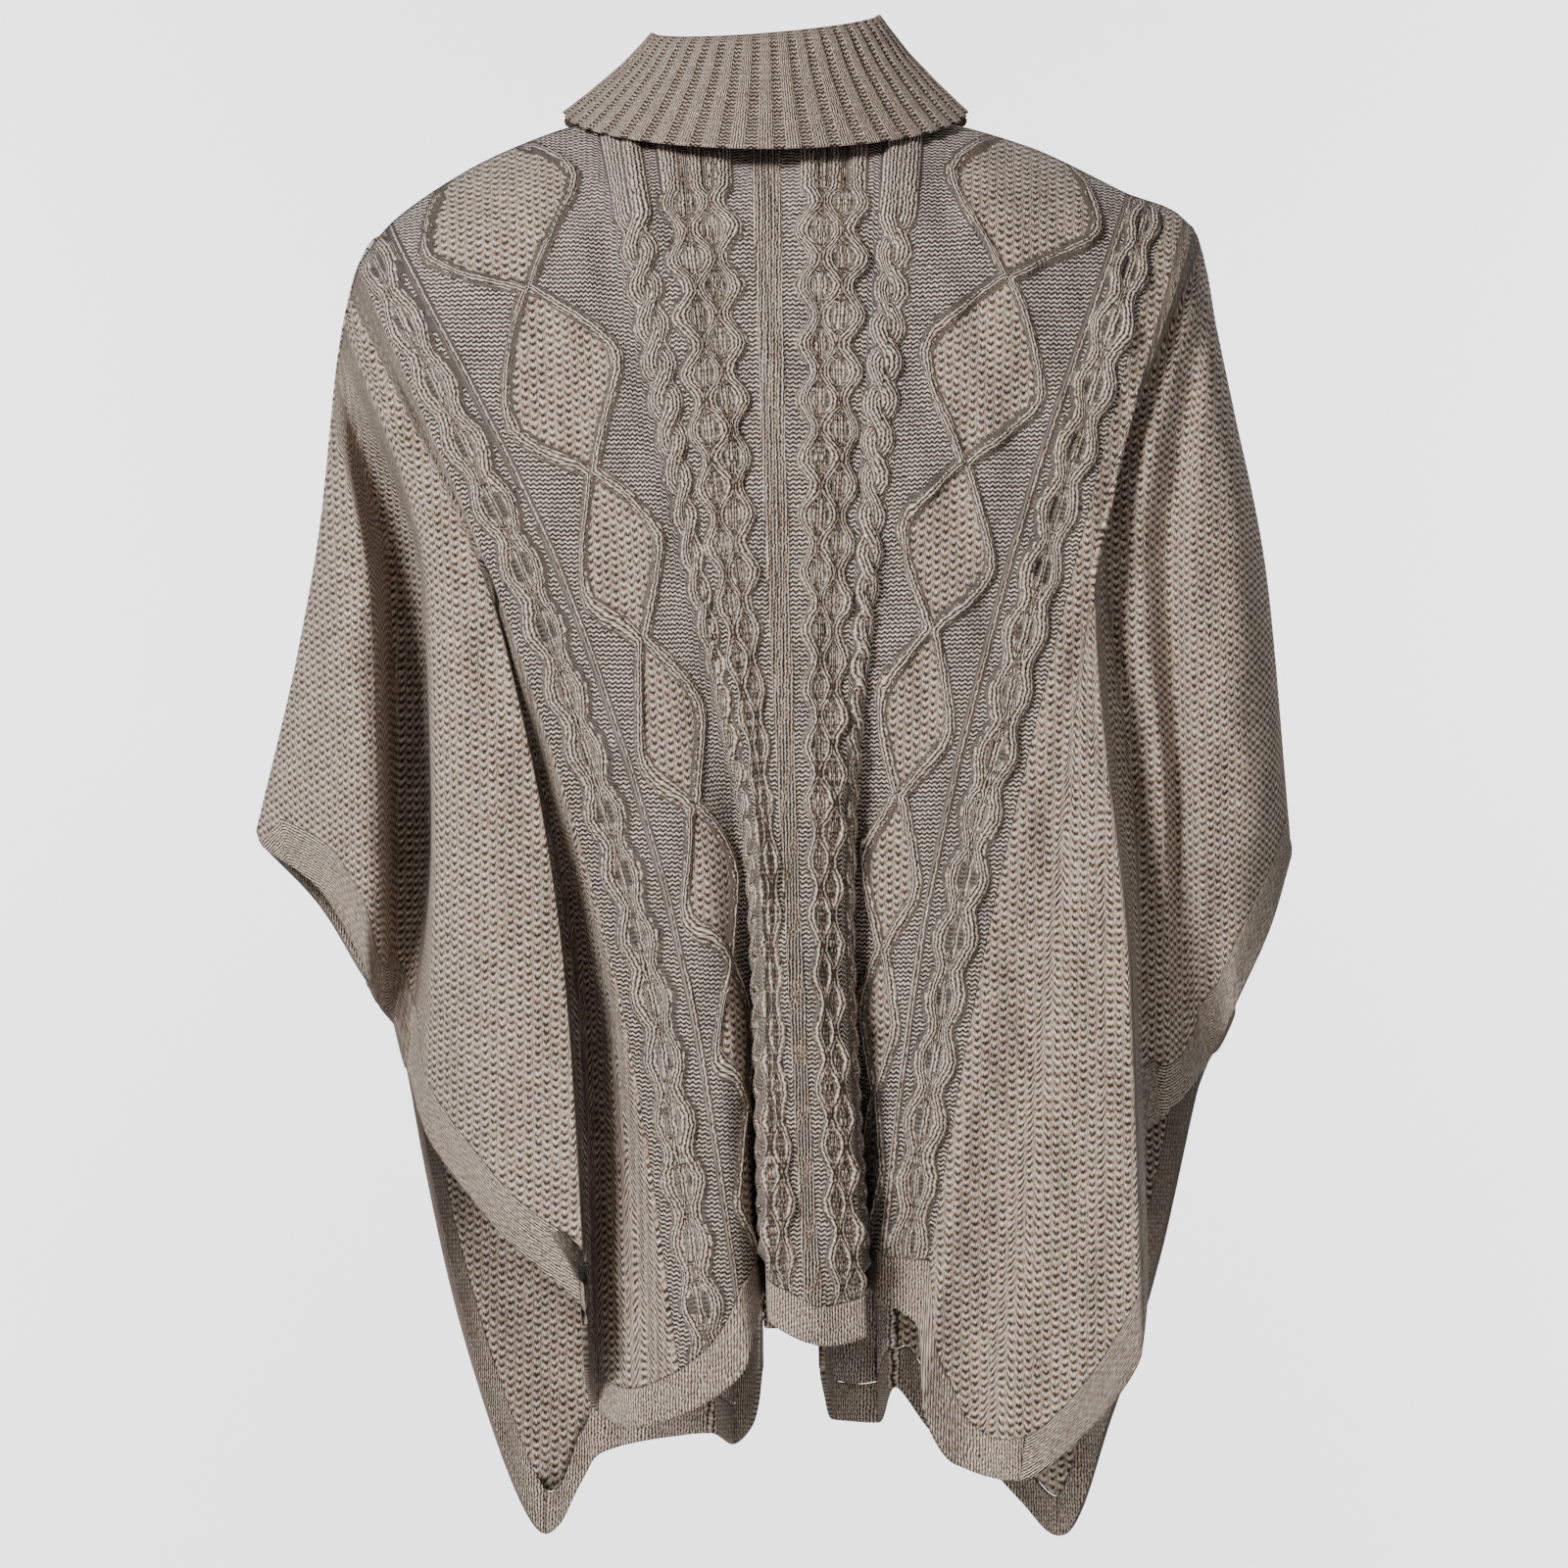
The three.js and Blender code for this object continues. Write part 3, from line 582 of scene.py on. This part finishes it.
def panel(name, sheet, strips, rows, inside):
    """A panel from the shoulder to the band."""
    columns, spans = strip_places(sheet, strips)

    def knitted(shares, flat):
        parts = [strip_knit(strip, first, last, shares, flat) for strip, (first, last) in zip(strips, spans)]
        whole = [np.concatenate([getattr(part, key) for part in parts], axis=1) for key in Knit._fields]
        knit = Knit(*(np.concatenate([field, field[:, -1:]], axis=1) for field in whole))
        since_top = flat.tall - flat.tall[:1]
        fade = smooth((since_top - START) / FADE) * smooth((since_top[-1:] - since_top) / FADE)
        return knit._replace(height=knit.height * fade)

    tops = np.zeros_like(columns)
    bottoms = sheet.band_top(columns, BAND + SEAM / 2)
    return piece_of(name, sheet, columns, rows, tops, bottoms, knitted, inside)


def moss_inside(flat):
    return plain(flat.wide, flat.tall, moss=1.0)


def knit_inside(flat):
    return plain(flat.wide, flat.tall, knit=1.0)


# %% The three panels of the back
pieces = {}
pieces["back_side_left"] = panel("back_side_left", back, table(STRIP_COLUMNS, [
    ["cuff tip left", moss, False, 150],
    ["wishbone left", None, False, 0],
]), 300, moss_inside)
pieces["back_centre"] = panel("back_centre", back, table(STRIP_COLUMNS, [
    ["wishbone left", wishbone, False, 22],
    ["chain left", diamonds, False, 56],
    ["rope left", rope, False, 26],
    ["honeycomb left", honeycomb, False, 40],
    ["rib left", fine_rib, False, 30],
    ["rib right", honeycomb, True, 40],
    ["honeycomb right", rope, True, 26],
    ["rope right", diamonds, True, 56],
    ["chain right", wishbone, True, 22],
    ["wishbone right", None, False, 0],
]), 290, knit_inside)
pieces["back_side_right"] = panel("back_side_right", back, table(STRIP_COLUMNS, [
    ["wishbone right", moss, False, 150],
    ["cuff tip right", None, False, 0],
]), 300, moss_inside)

# %% [markdown]
# The front isn't seen in the photograph. It repeats the back's cables on either side of two ribbed bands that meet
# edge to edge, as such a front usually does.

# %% The six panels of the front
pieces["front_side_left"] = panel("front_side_left", front, table(STRIP_COLUMNS, [
    ["cuff tip left", moss, False, 100],
    ["flute 2", wishbone, False, 22],
    ["chain left", None, False, 0],
]), 200, moss_inside)
pieces["front_centre_left"] = panel("front_centre_left", front, table(STRIP_COLUMNS, [
    ["chain left", diamonds, False, 60],
    ["rope left", rope, False, 20],
    ["neck left", honeycomb, False, 30],
    ["band left", None, False, 0],
]), 250, knit_inside)
pieces["front_rib_band_left"] = panel("front_rib_band_left", front, table(STRIP_COLUMNS, [
    ["band left", fine_rib, False, 20],
    ["centre front", None, False, 0],
]), 120, knit_inside)
pieces["front_rib_band_right"] = panel("front_rib_band_right", front, table(STRIP_COLUMNS, [
    ["centre front", fine_rib, False, 20],
    ["band right", None, False, 0],
]), 120, knit_inside)
pieces["front_centre_right"] = panel("front_centre_right", front, table(STRIP_COLUMNS, [
    ["band right", honeycomb, True, 30],
    ["neck right", rope, True, 20],
    ["rope right", diamonds, True, 60],
    ["chain right", None, False, 0],
]), 250, knit_inside)
pieces["front_side_right"] = panel("front_side_right", front, table(STRIP_COLUMNS, [
    ["chain right", wishbone, True, 22],
    ["flute 3", moss, False, 100],
    ["cuff tip right", None, False, 0],
]), 200, moss_inside)

# %% [markdown]
# ## Bands
# Plain bands finish the sides and the hem. The hem's bands are knitted down, so their columns run square to the edge.
# The bands of the sides are knitted along the edge, so their stitches lie the other way round.

# %% The bands along the lower edge
def band(name, sheet, start, end, along_edge, points):
    columns = np.linspace(sheet.line(start), sheet.line(end), points)

    def knitted(shares, flat):
        from_seam = flat.tall - flat.tall[:1]
        if along_edge:
            return plain(from_seam, flat.square, knit=1.0)
        return plain(flat.wide, from_seam, knit=1.0)

    tops = sheet.band_top(columns, BAND - SEAM / 2)
    return piece_of(name, sheet, columns, 12, tops, np.ones_like(columns), knitted, knit_inside)


BANDS = table("name sheet start end along_edge points".split(), [
    ["back_side_band_left", back, "cuff tip left", "corner left", True, 140],
    ["back_hem_band", back, "corner left", "corner right", False, 260],
    ["back_side_band_right", back, "corner right", "cuff tip right", True, 140],
    ["front_side_band_left", front, "cuff tip left", "corner left", True, 140],
    ["front_hem_band_left", front, "corner left", "band left", False, 140],
    ["front_hem_band_right", front, "band right", "corner right", False, 140],
    ["front_side_band_right", front, "corner right", "cuff tip right", True, 140],
])
for row in BANDS:
    pieces[row["name"]] = band(**row)

# %% [markdown]
# ## The collar
# The collar is a strip of wide ribs that stands round the neck, turns over and falls outwards. Its section is a
# closed loop of points, which is carried round the neck from one front edge to the other.

# %% The collar's section carried round the neck
COLLAR_RIBS = 44
COLLAR_RIB = 2.2
COLLAR_TILT = 0.1
COLLAR_OPENING = 0.03
COLLAR_AROUND = 16 * COLLAR_RIBS
LIP = dict(high=1.3, at=2.6, wide=1.9)
COLLAR_SECTION = table("wide back front sideZ backZ frontZ ribbed".split(), [
    [108, 96, 108, 21, -2, -24, 1],
    [92, 84, 94, 35, 17, 0, 1],
    [76, 70, 77, 50, 39, 24, 1],
    [65, 59, 64, 63, 58, 43, 0.9],
    [61, 55, 58, 69, 62, 47, 0.6],
    [57, 51, 53, 66, 59, 43, 0.3],
    [75, None, None, 20.6, 8.6, -31.4, 0],
    [78, None, None, 20.6, 8.6, -31.4, 0],
    [61, 56, 59, 57, 50, 36, 0],
    [104, 92, 104, 21, -2, -24, 0],
])
LOOP_POINTS = [0, 12, 8, 6, 3, 3, 12, 1, 8, 12]


def collar_row(row, angles, rib):
    """One point of the section, at every angle round the neck."""
    x, y = np.cos(angles), np.sin(angles)
    behind = y < 0
    low_z = np.where(behind, row["backZ"], row["frontZ"])
    out = row["ribbed"] * rib
    flat_z = mix(row["sideZ"], low_z, np.abs(y))
    if row["back"] is None:
        neck = round_over((NECK["sideZ"] - flat_z) / SHOULDER)
        deep = NECK["depth"] * neck - (NECK["wide"] - row["wide"]) * np.abs(y)
        place_y = deep * np.sign(y)
    else:
        place_y = (np.where(behind, row["back"], row["front"]) + out) * y
    tilt = COLLAR_TILT * x * (row["sideZ"] - NECK["sideZ"])
    return np.stack([NECK["x"] + (row["wide"] + out) * x, place_y, flat_z + tilt], axis=-1)


def collar():
    angles = np.linspace(COLLAR_OPENING, 2 * math.pi - COLLAR_OPENING, COLLAR_AROUND + 1) + math.pi / 2
    turn = np.linspace(0, COLLAR_RIBS, COLLAR_AROUND + 1)
    rib = COLLAR_RIB * (0.5 + 0.5 * np.tanh(3 * (np.cos(2 * math.pi * turn) + 0.35)))
    corners = [collar_row(row, angles, rib) for row in COLLAR_SECTION]
    corners.append(corners[0])
    rings = [corners[0]]
    for before, after, count in zip(corners, corners[1:], LOOP_POINTS[1:] + [3]):
        rings += [mix(before, after, share) for share in np.linspace(0, 1, count + 1)[1:]]
    points = np.stack(rings)
    from_edge = np.linalg.norm(points[:10] - points[0], axis=2).mean(axis=1)
    lip = LIP["high"] * np.exp(-(((from_edge - LIP["at"]) / LIP["wide"]) ** 2))
    outwards = points[:10] - np.array([NECK["x"], 0, 0])
    outwards[..., 2] = 0
    outwards /= np.linalg.norm(outwards, axis=2, keepdims=True)
    points[:10] += outwards * (lip[:, None] * (1.3 - rib / COLLAR_RIB))[..., None]
    turned = len(rings)
    bm = bmesh.new()
    made = bmesh.ops.create_grid(bm, x_segments=COLLAR_AROUND, y_segments=turned - 1, size=1)
    for vert, point in zip(made["verts"], points.reshape(-1, 3) * MM):
        vert.co = point
    bmesh.ops.remove_doubles(bm, verts=bm.verts, dist=1e-6)
    ends = [edge for edge in bm.edges if edge.is_boundary]
    bmesh.ops.holes_fill(bm, edges=ends, sides=0)
    bmesh.ops.recalc_face_normals(bm, faces=bm.faces)
    bmesh.ops.triangulate(bm, faces=[face for face in bm.faces if len(face.verts) > 4])
    mesh = bpy.data.meshes.new("collar")
    bm.to_mesh(mesh)
    bm.free()
    mesh.shade_smooth()
    return points, rib, mesh


# %% [markdown]
# The points of the finished collar find their stitch places by the angle at which they stand and by their distance
# from the free edge.

# %% The collar's stitches
RIB_STITCHES = 5


def finished_collar():
    points, rib, mesh = collar()
    falls = np.linalg.norm(np.diff(points, axis=0), axis=2).mean(axis=1)
    fall = np.concatenate([[0], np.cumsum(falls)])
    count = len(mesh.vertices)
    columns = COLLAR_AROUND + 1
    index = np.minimum(np.arange(count), points.shape[0] * columns - 1)
    column, ring = index % columns, index // columns
    wale = (column / (columns - 1) * COLLAR_RIBS * RIB_STITCHES + 0.5) * STITCH_WIDE
    raised = rib[column] / COLLAR_RIB
    # Painted shade in the hollows between the collar's ribs.
    pit = 0.5 * (1 - raised)
    zero = np.zeros(count)
    stitch_places(mesh, [Knit(zero, wale, fall[ring], zero, 1 - raised, raised, pit)])
    piece = bpy.data.objects.new("collar_wool", mesh)
    bpy.context.scene.collection.objects.link(piece)
    open_edges = len(mesh.vertices)
    print("collar:", len(mesh.polygons), "faces,", open_edges, "points")
    return piece


pieces["collar"] = finished_collar()

# %% [markdown]
# ## The wool
# The yarn is an oatmeal wool with pale and tan flecks. One material draws every kind of stitch from the stitch
# places: moss as a lattice of small bumps, purl as zigzag rows and knit as columns of slanting stitches. The kinds
# that were written on the points decide which one shows. The same height drives the bump and paints shade into the
# low parts of the stitches, and the pits where strands meet get painted shade as well.

# %% Sums in the shader
class Term:
    """A shader value that takes part in sums, so that a pattern can be written as a formula."""

    def __init__(self, tree, socket):
        self.tree, self.socket = tree, socket

    def act(self, operation, *others):
        node = self.tree.nodes.new("ShaderNodeMath")
        node.operation = operation
        for slot, value in zip(node.inputs, (self, *others)):
            if isinstance(value, Term):
                self.tree.links.new(value.socket, slot)
            else:
                slot.default_value = value
        return Term(self.tree, node.outputs[0])

    def __add__(self, other):
        return self.act("ADD", other)

    def __sub__(self, other):
        return self.act("SUBTRACT", other)

    def __mul__(self, other):
        return self.act("MULTIPLY", other)

    def wave(self):
        """1 at whole numbers and 0 halfway between them."""
        return (self * (2 * math.pi)).act("COSINE") * 0.5 + 0.5

    def zigzag(self):
        """0 at whole numbers and 0.5 halfway between them."""
        return self.act("PINGPONG", 0.5)


# %% [markdown]
# The three stitch patterns are formulas of the stitch places. `s` counts stitches across and `t` counts rows down.

# %% The height of the stitches
def moss_height(s, t):
    """Staggered hooked stitches with small dark pits between them."""
    s = s * 0.68
    t = t * 1.1 + s.zigzag() * 1.5
    one, other = ((s + t) * 0.5).wave(), ((s - t) * 0.5).wave()
    return ((one + other) * 0.5).act("POWER", 0.7) * 0.85 + (s * 4 + t * 0.5).wave() * 0.15


def purl_height(s, t):
    """Rows of little arcs, which meet in a zigzag."""
    return (t + s.zigzag() * 0.9).wave().act("POWER", 0.7)


def knit_height(s, t):
    """Columns of stitches, each with two slanting legs."""
    legs = (s * 2 + 0.5).wave().act("POWER", 0.5)
    return legs * 0.75 + (t + s.zigzag() * 1.4).wave() * 0.25


# %% [markdown]
# The yarn is spun from pale, tan and brown fibres. Two noises paint it: fine flecks drawn out along the columns, and
# broad soft blotches. The dark colour at the bottom of the ramp is painted shade: it shows in the pits and the low
# parts of the stitches, where hardly any light comes in.

# %% The yarn's colours
# The yarn's own colours, with the darkest end of the ramp used for painted shade in pits and stitch gaps.
YARN_AND_SHADE_COLOURS = table("at red green blue".split(), [
    [0.05, 0.030, 0.018, 0.012],
    [0.25, 0.125, 0.082, 0.056],
    [0.48, 0.335, 0.252, 0.188],
    [0.72, 0.50, 0.41, 0.33],
    [0.98, 0.80, 0.73, 0.65],
])


def paint_ramp(ramp):
    stops = ramp.color_ramp.elements
    while len(stops) < len(YARN_AND_SHADE_COLOURS):
        stops.new(0.5)
    for stop, shade in zip(stops, YARN_AND_SHADE_COLOURS):
        stop.position = shade["at"]
        stop.color = (shade["red"], shade["green"], shade["blue"], 1)


def soft_noise(tree, places, across, down, detail):
    """Soft noise on the stitch places, with blots of about the given sizes in stitches."""
    mapping = tree.nodes.new("ShaderNodeMapping")
    mapping.inputs["Scale"].default_value = (1 / across, 1 / down, 1)
    tree.links.new(places.outputs["UV"], mapping.inputs[0])
    noise = tree.nodes.new("ShaderNodeTexNoise")
    noise.inputs["Scale"].default_value = 1.0
    noise.inputs["Detail"].default_value = detail
    tree.links.new(mapping.outputs[0], noise.inputs["Vector"])
    return Term(tree, noise.outputs["Fac"]) - 0.5


print("shades in the yarn:", len(YARN_AND_SHADE_COLOURS))

# %% [markdown]
# One function makes the wool for every piece. The bands are knitted more tightly, so their stitches are lower.

# %% The wool's material
def wool(name, depth, tint):
    """Knitted wool. `depth` is the height of its stitches in mm, and `tint` makes it lighter or darker."""
    material = bpy.data.materials.new(name)
    material.use_nodes = True
    tree = material.node_tree
    shader = tree.nodes["Principled BSDF"]
    places = tree.nodes.new("ShaderNodeUVMap")
    places.uv_map = "stitches"
    split = tree.nodes.new("ShaderNodeSeparateXYZ")
    tree.links.new(places.outputs["UV"], split.inputs[0])
    stitch_kinds_and_shade = tree.nodes.new("ShaderNodeAttribute")
    stitch_kinds_and_shade.attribute_name = "stitch_kinds_and_shade"
    parts = tree.nodes.new("ShaderNodeSeparateColor")
    tree.links.new(stitch_kinds_and_shade.outputs["Color"], parts.inputs[0])
    is_moss, is_purl, is_knit = (Term(tree, parts.outputs[key]) for key in ("Red", "Green", "Blue"))
    # The alpha channel is painted shade for the pits.
    pit = Term(tree, stitch_kinds_and_shade.outputs["Alpha"])

    wander = soft_noise(tree, places, 1.5, 1.5, 1.0)
    s = Term(tree, split.outputs["X"]) + wander * 0.5
    t = Term(tree, split.outputs["Y"]) - wander * 0.5
    height = moss_height(s, t) * is_moss + purl_height(s, t) * is_purl + knit_height(s, t) * is_knit
    fleck = soft_noise(tree, places, 0.35, 1.1, 2.0)
    blotch = soft_noise(tree, places, 4.0, 6.0, 2.0)

    # Painted shade: the colour darkens with low stitch height and in the pits, on top of the flecks, blotches and
    # tint.
    tone_and_painted_shade = height * 1.05 + fleck * 1.2 + blotch * 0.25 + (tint - 0.1) - pit * 0.42
    ramp = tree.nodes.new("ShaderNodeValToRGB")
    tree.links.new(tone_and_painted_shade.socket, ramp.inputs[0])
    paint_ramp(ramp)
    tree.links.new(ramp.outputs[0], shader.inputs["Base Color"])
    shader.inputs["Roughness"].default_value = 0.95
    shader.inputs["Specular IOR Level"].default_value = 0.12
    shader.inputs["Sheen Weight"].default_value = 0.1
    shader.inputs["Sheen Roughness"].default_value = 0.6
    bump = tree.nodes.new("ShaderNodeBump")
    bump.inputs["Distance"].default_value = depth * MM
    fuzzy = height + fleck * 0.4
    tree.links.new(fuzzy.socket, bump.inputs["Height"])
    tree.links.new(bump.outputs[0], shader.inputs["Normal"])
    return material


knit_wool = wool("knitted wool", 1.8, 0.0)
band_wool = wool("wool of the bands", 0.8, -0.06)
rib_wool = wool("ribbed wool", 1.0, -0.07)
print("materials:", [material.name for material in bpy.data.materials])

# %% [markdown]
# ## Dressing the model
# Each piece stands for the solid of the same name and takes that solid's place on the body. The table also lists a
# flat cut for each piece in metres: width, length and area, which nothing here reads. These were rounded from the
# areas of the pieces as first built, not taken from a knitting pattern.

# %% Each piece in its place
CUTS = table("name width length area slot".split(), [
    ["back_side_left", 0.42, 0.60, 0.13, "knit"],
    ["back_centre", 0.50, 0.67, 0.215, "knit"],
    ["back_side_right", 0.38, 0.62, 0.108, "knit"],
    ["back_side_band_left", 0.021, 0.52, None, "band"],
    ["back_hem_band", 0.78, 0.021, None, "band"],
    ["back_side_band_right", 0.021, 0.50, None, "band"],
    ["front_side_left", 0.36, 0.66, 0.11, "knit"],
    ["front_centre_left", 0.23, 0.70, 0.082, "knit"],
    ["front_rib_band_left", 0.017, 0.66, None, "rib"],
    ["front_rib_band_right", 0.019, 0.66, None, "rib"],
    ["front_centre_right", 0.23, 0.69, 0.079, "knit"],
    ["front_side_right", 0.37, 0.68, 0.118, "knit"],
    ["front_side_band_left", 0.021, 0.58, None, "band"],
    ["front_hem_band_left", 0.22, 0.021, None, "band"],
    ["front_hem_band_right", 0.24, 0.021, None, "band"],
    ["front_side_band_right", 0.021, 0.58, None, "band"],
    ["collar", 0.50, 0.125, None, "rib"],
])
WOOLS = {"knit": knit_wool, "band": band_wool, "rib": rib_wool}


def area_of(piece):
    return sum(face.area for face in piece.data.polygons) / 2


for row in CUTS:
    piece = pieces[row["name"]]
    piece.data.materials.append(WOOLS[row["slot"]])
    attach(piece, "root")
    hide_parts(row["name"])
    print(row["name"], "area", round(area_of(piece), 4))

# %% [markdown]
# ## Floor, light and camera
# A pale floor curves up into a backdrop, which has two lamps of its own. The backdrop stands further from the
# garment than any camera does, so that it hides no view from the front. The back of the garment is lit softly from
# the left, with little light from anywhere else, because deep folds of thick knitting are nearly dark inside. The
# front has one soft lamp. The floor lies as far below the neck as it does under someone who stands. The camera
# stands far back with a long lens, level with the middle of the garment.

# %% The studio
FLOOR_Z = -1.45
PHOTO_SPAN = 1600 * 0.00053
PHOTO_CENTRE = Vector((0, 0, (150 - 800) * 0.00053))
BACKDROP_Y = 20.0
SWEEP_REACH = 6.0
SWEEP_CURVE = 1.2
SWEEP_STEPS = 24
CAMERA_FAR = 12.0
CAMERA_PLANE = -0.06
SENSOR = 36
SKY = 0.09


def sweep():
    """The floor and the backdrop in one sheet, with a wide curve between them."""
    turns = np.linspace(0, math.pi / 2, SWEEP_STEPS)
    profile = [(-SWEEP_REACH, FLOOR_Z)]
    profile += [(BACKDROP_Y - SWEEP_CURVE * (1 - math.sin(a)), FLOOR_Z + SWEEP_CURVE * (1 - math.cos(a))) for a in turns]
    profile.append((BACKDROP_Y, SWEEP_REACH))
    bm = bmesh.new()
    made = bmesh.ops.create_grid(bm, x_segments=1, y_segments=len(profile) - 1, size=1)
    for index, vert in enumerate(made["verts"]):
        y, z = profile[index // 2]
        vert.co = (SWEEP_REACH * (2 * (index % 2) - 1), y, z)
    bmesh.ops.recalc_face_normals(bm, faces=bm.faces)
    mesh = bpy.data.meshes.new("sweep")
    bm.to_mesh(mesh)
    bm.free()
    mesh.shade_smooth()
    made = bpy.data.objects.new("sweep", mesh)
    bpy.context.scene.collection.objects.link(made)
    pale = bpy.data.materials.new("pale paper")
    pale.use_nodes = True
    pale.node_tree.nodes["Principled BSDF"].inputs["Base Color"].default_value = (0.9, 0.9, 0.9, 1)
    pale.node_tree.nodes["Principled BSDF"].inputs["Roughness"].default_value = 1.0
    mesh.materials.append(pale)


LAMPS = table("name place aim size power".split(), [
    ["key", (-1.9, -3.5, 1.6), (0, 0, -0.35), 0.9, 275],
    ["fill", (1.8, -3.4, 0.6), (0, 0, -0.35), 1.5, 12],
    ["front", (2.2, 4.0, 1.4), (0, 0, -0.35), 1.6, 90],
    ["backdrop left", (-3.0, 17.5, 0.6), (0.6, BACKDROP_Y, -0.4), 2.0, 300],
    ["backdrop right", (3.0, 17.5, 0.6), (-0.6, BACKDROP_Y, -0.4), 2.0, 300],
])


def lamp(name, place, aim, size, power):
    light = bpy.data.lights.new(name, "AREA")
    light.energy, light.size = power, size
    made = bpy.data.objects.new(name, light)
    made.location = place
    made.rotation_euler = (Vector(aim) - Vector(place)).to_track_quat("-Z", "Y").to_euler()
    bpy.context.scene.collection.objects.link(made)


def sky(strength):
    world = bpy.data.worlds.new("soft sky")
    world.use_nodes = True
    world.node_tree.nodes["Background"].inputs["Color"].default_value = (1, 1, 1, 1)
    world.node_tree.nodes["Background"].inputs["Strength"].default_value = strength
    bpy.context.scene.world = world


def camera():
    data = bpy.data.cameras.new("camera")
    data.sensor_width = SENSOR
    data.lens = SENSOR * CAMERA_FAR / PHOTO_SPAN
    data.clip_end = 100
    made = bpy.data.objects.new("camera", data)
    made.location = PHOTO_CENTRE + Vector((0, CAMERA_PLANE - CAMERA_FAR, 0))
    made.rotation_euler = (math.pi / 2, 0, 0)
    bpy.context.scene.collection.objects.link(made)
    bpy.context.scene.camera = made


sweep()
for row in LAMPS:
    lamp(**row)
sky(SKY)
camera()
print("lens, mm:", round(bpy.context.scene.camera.data.lens))
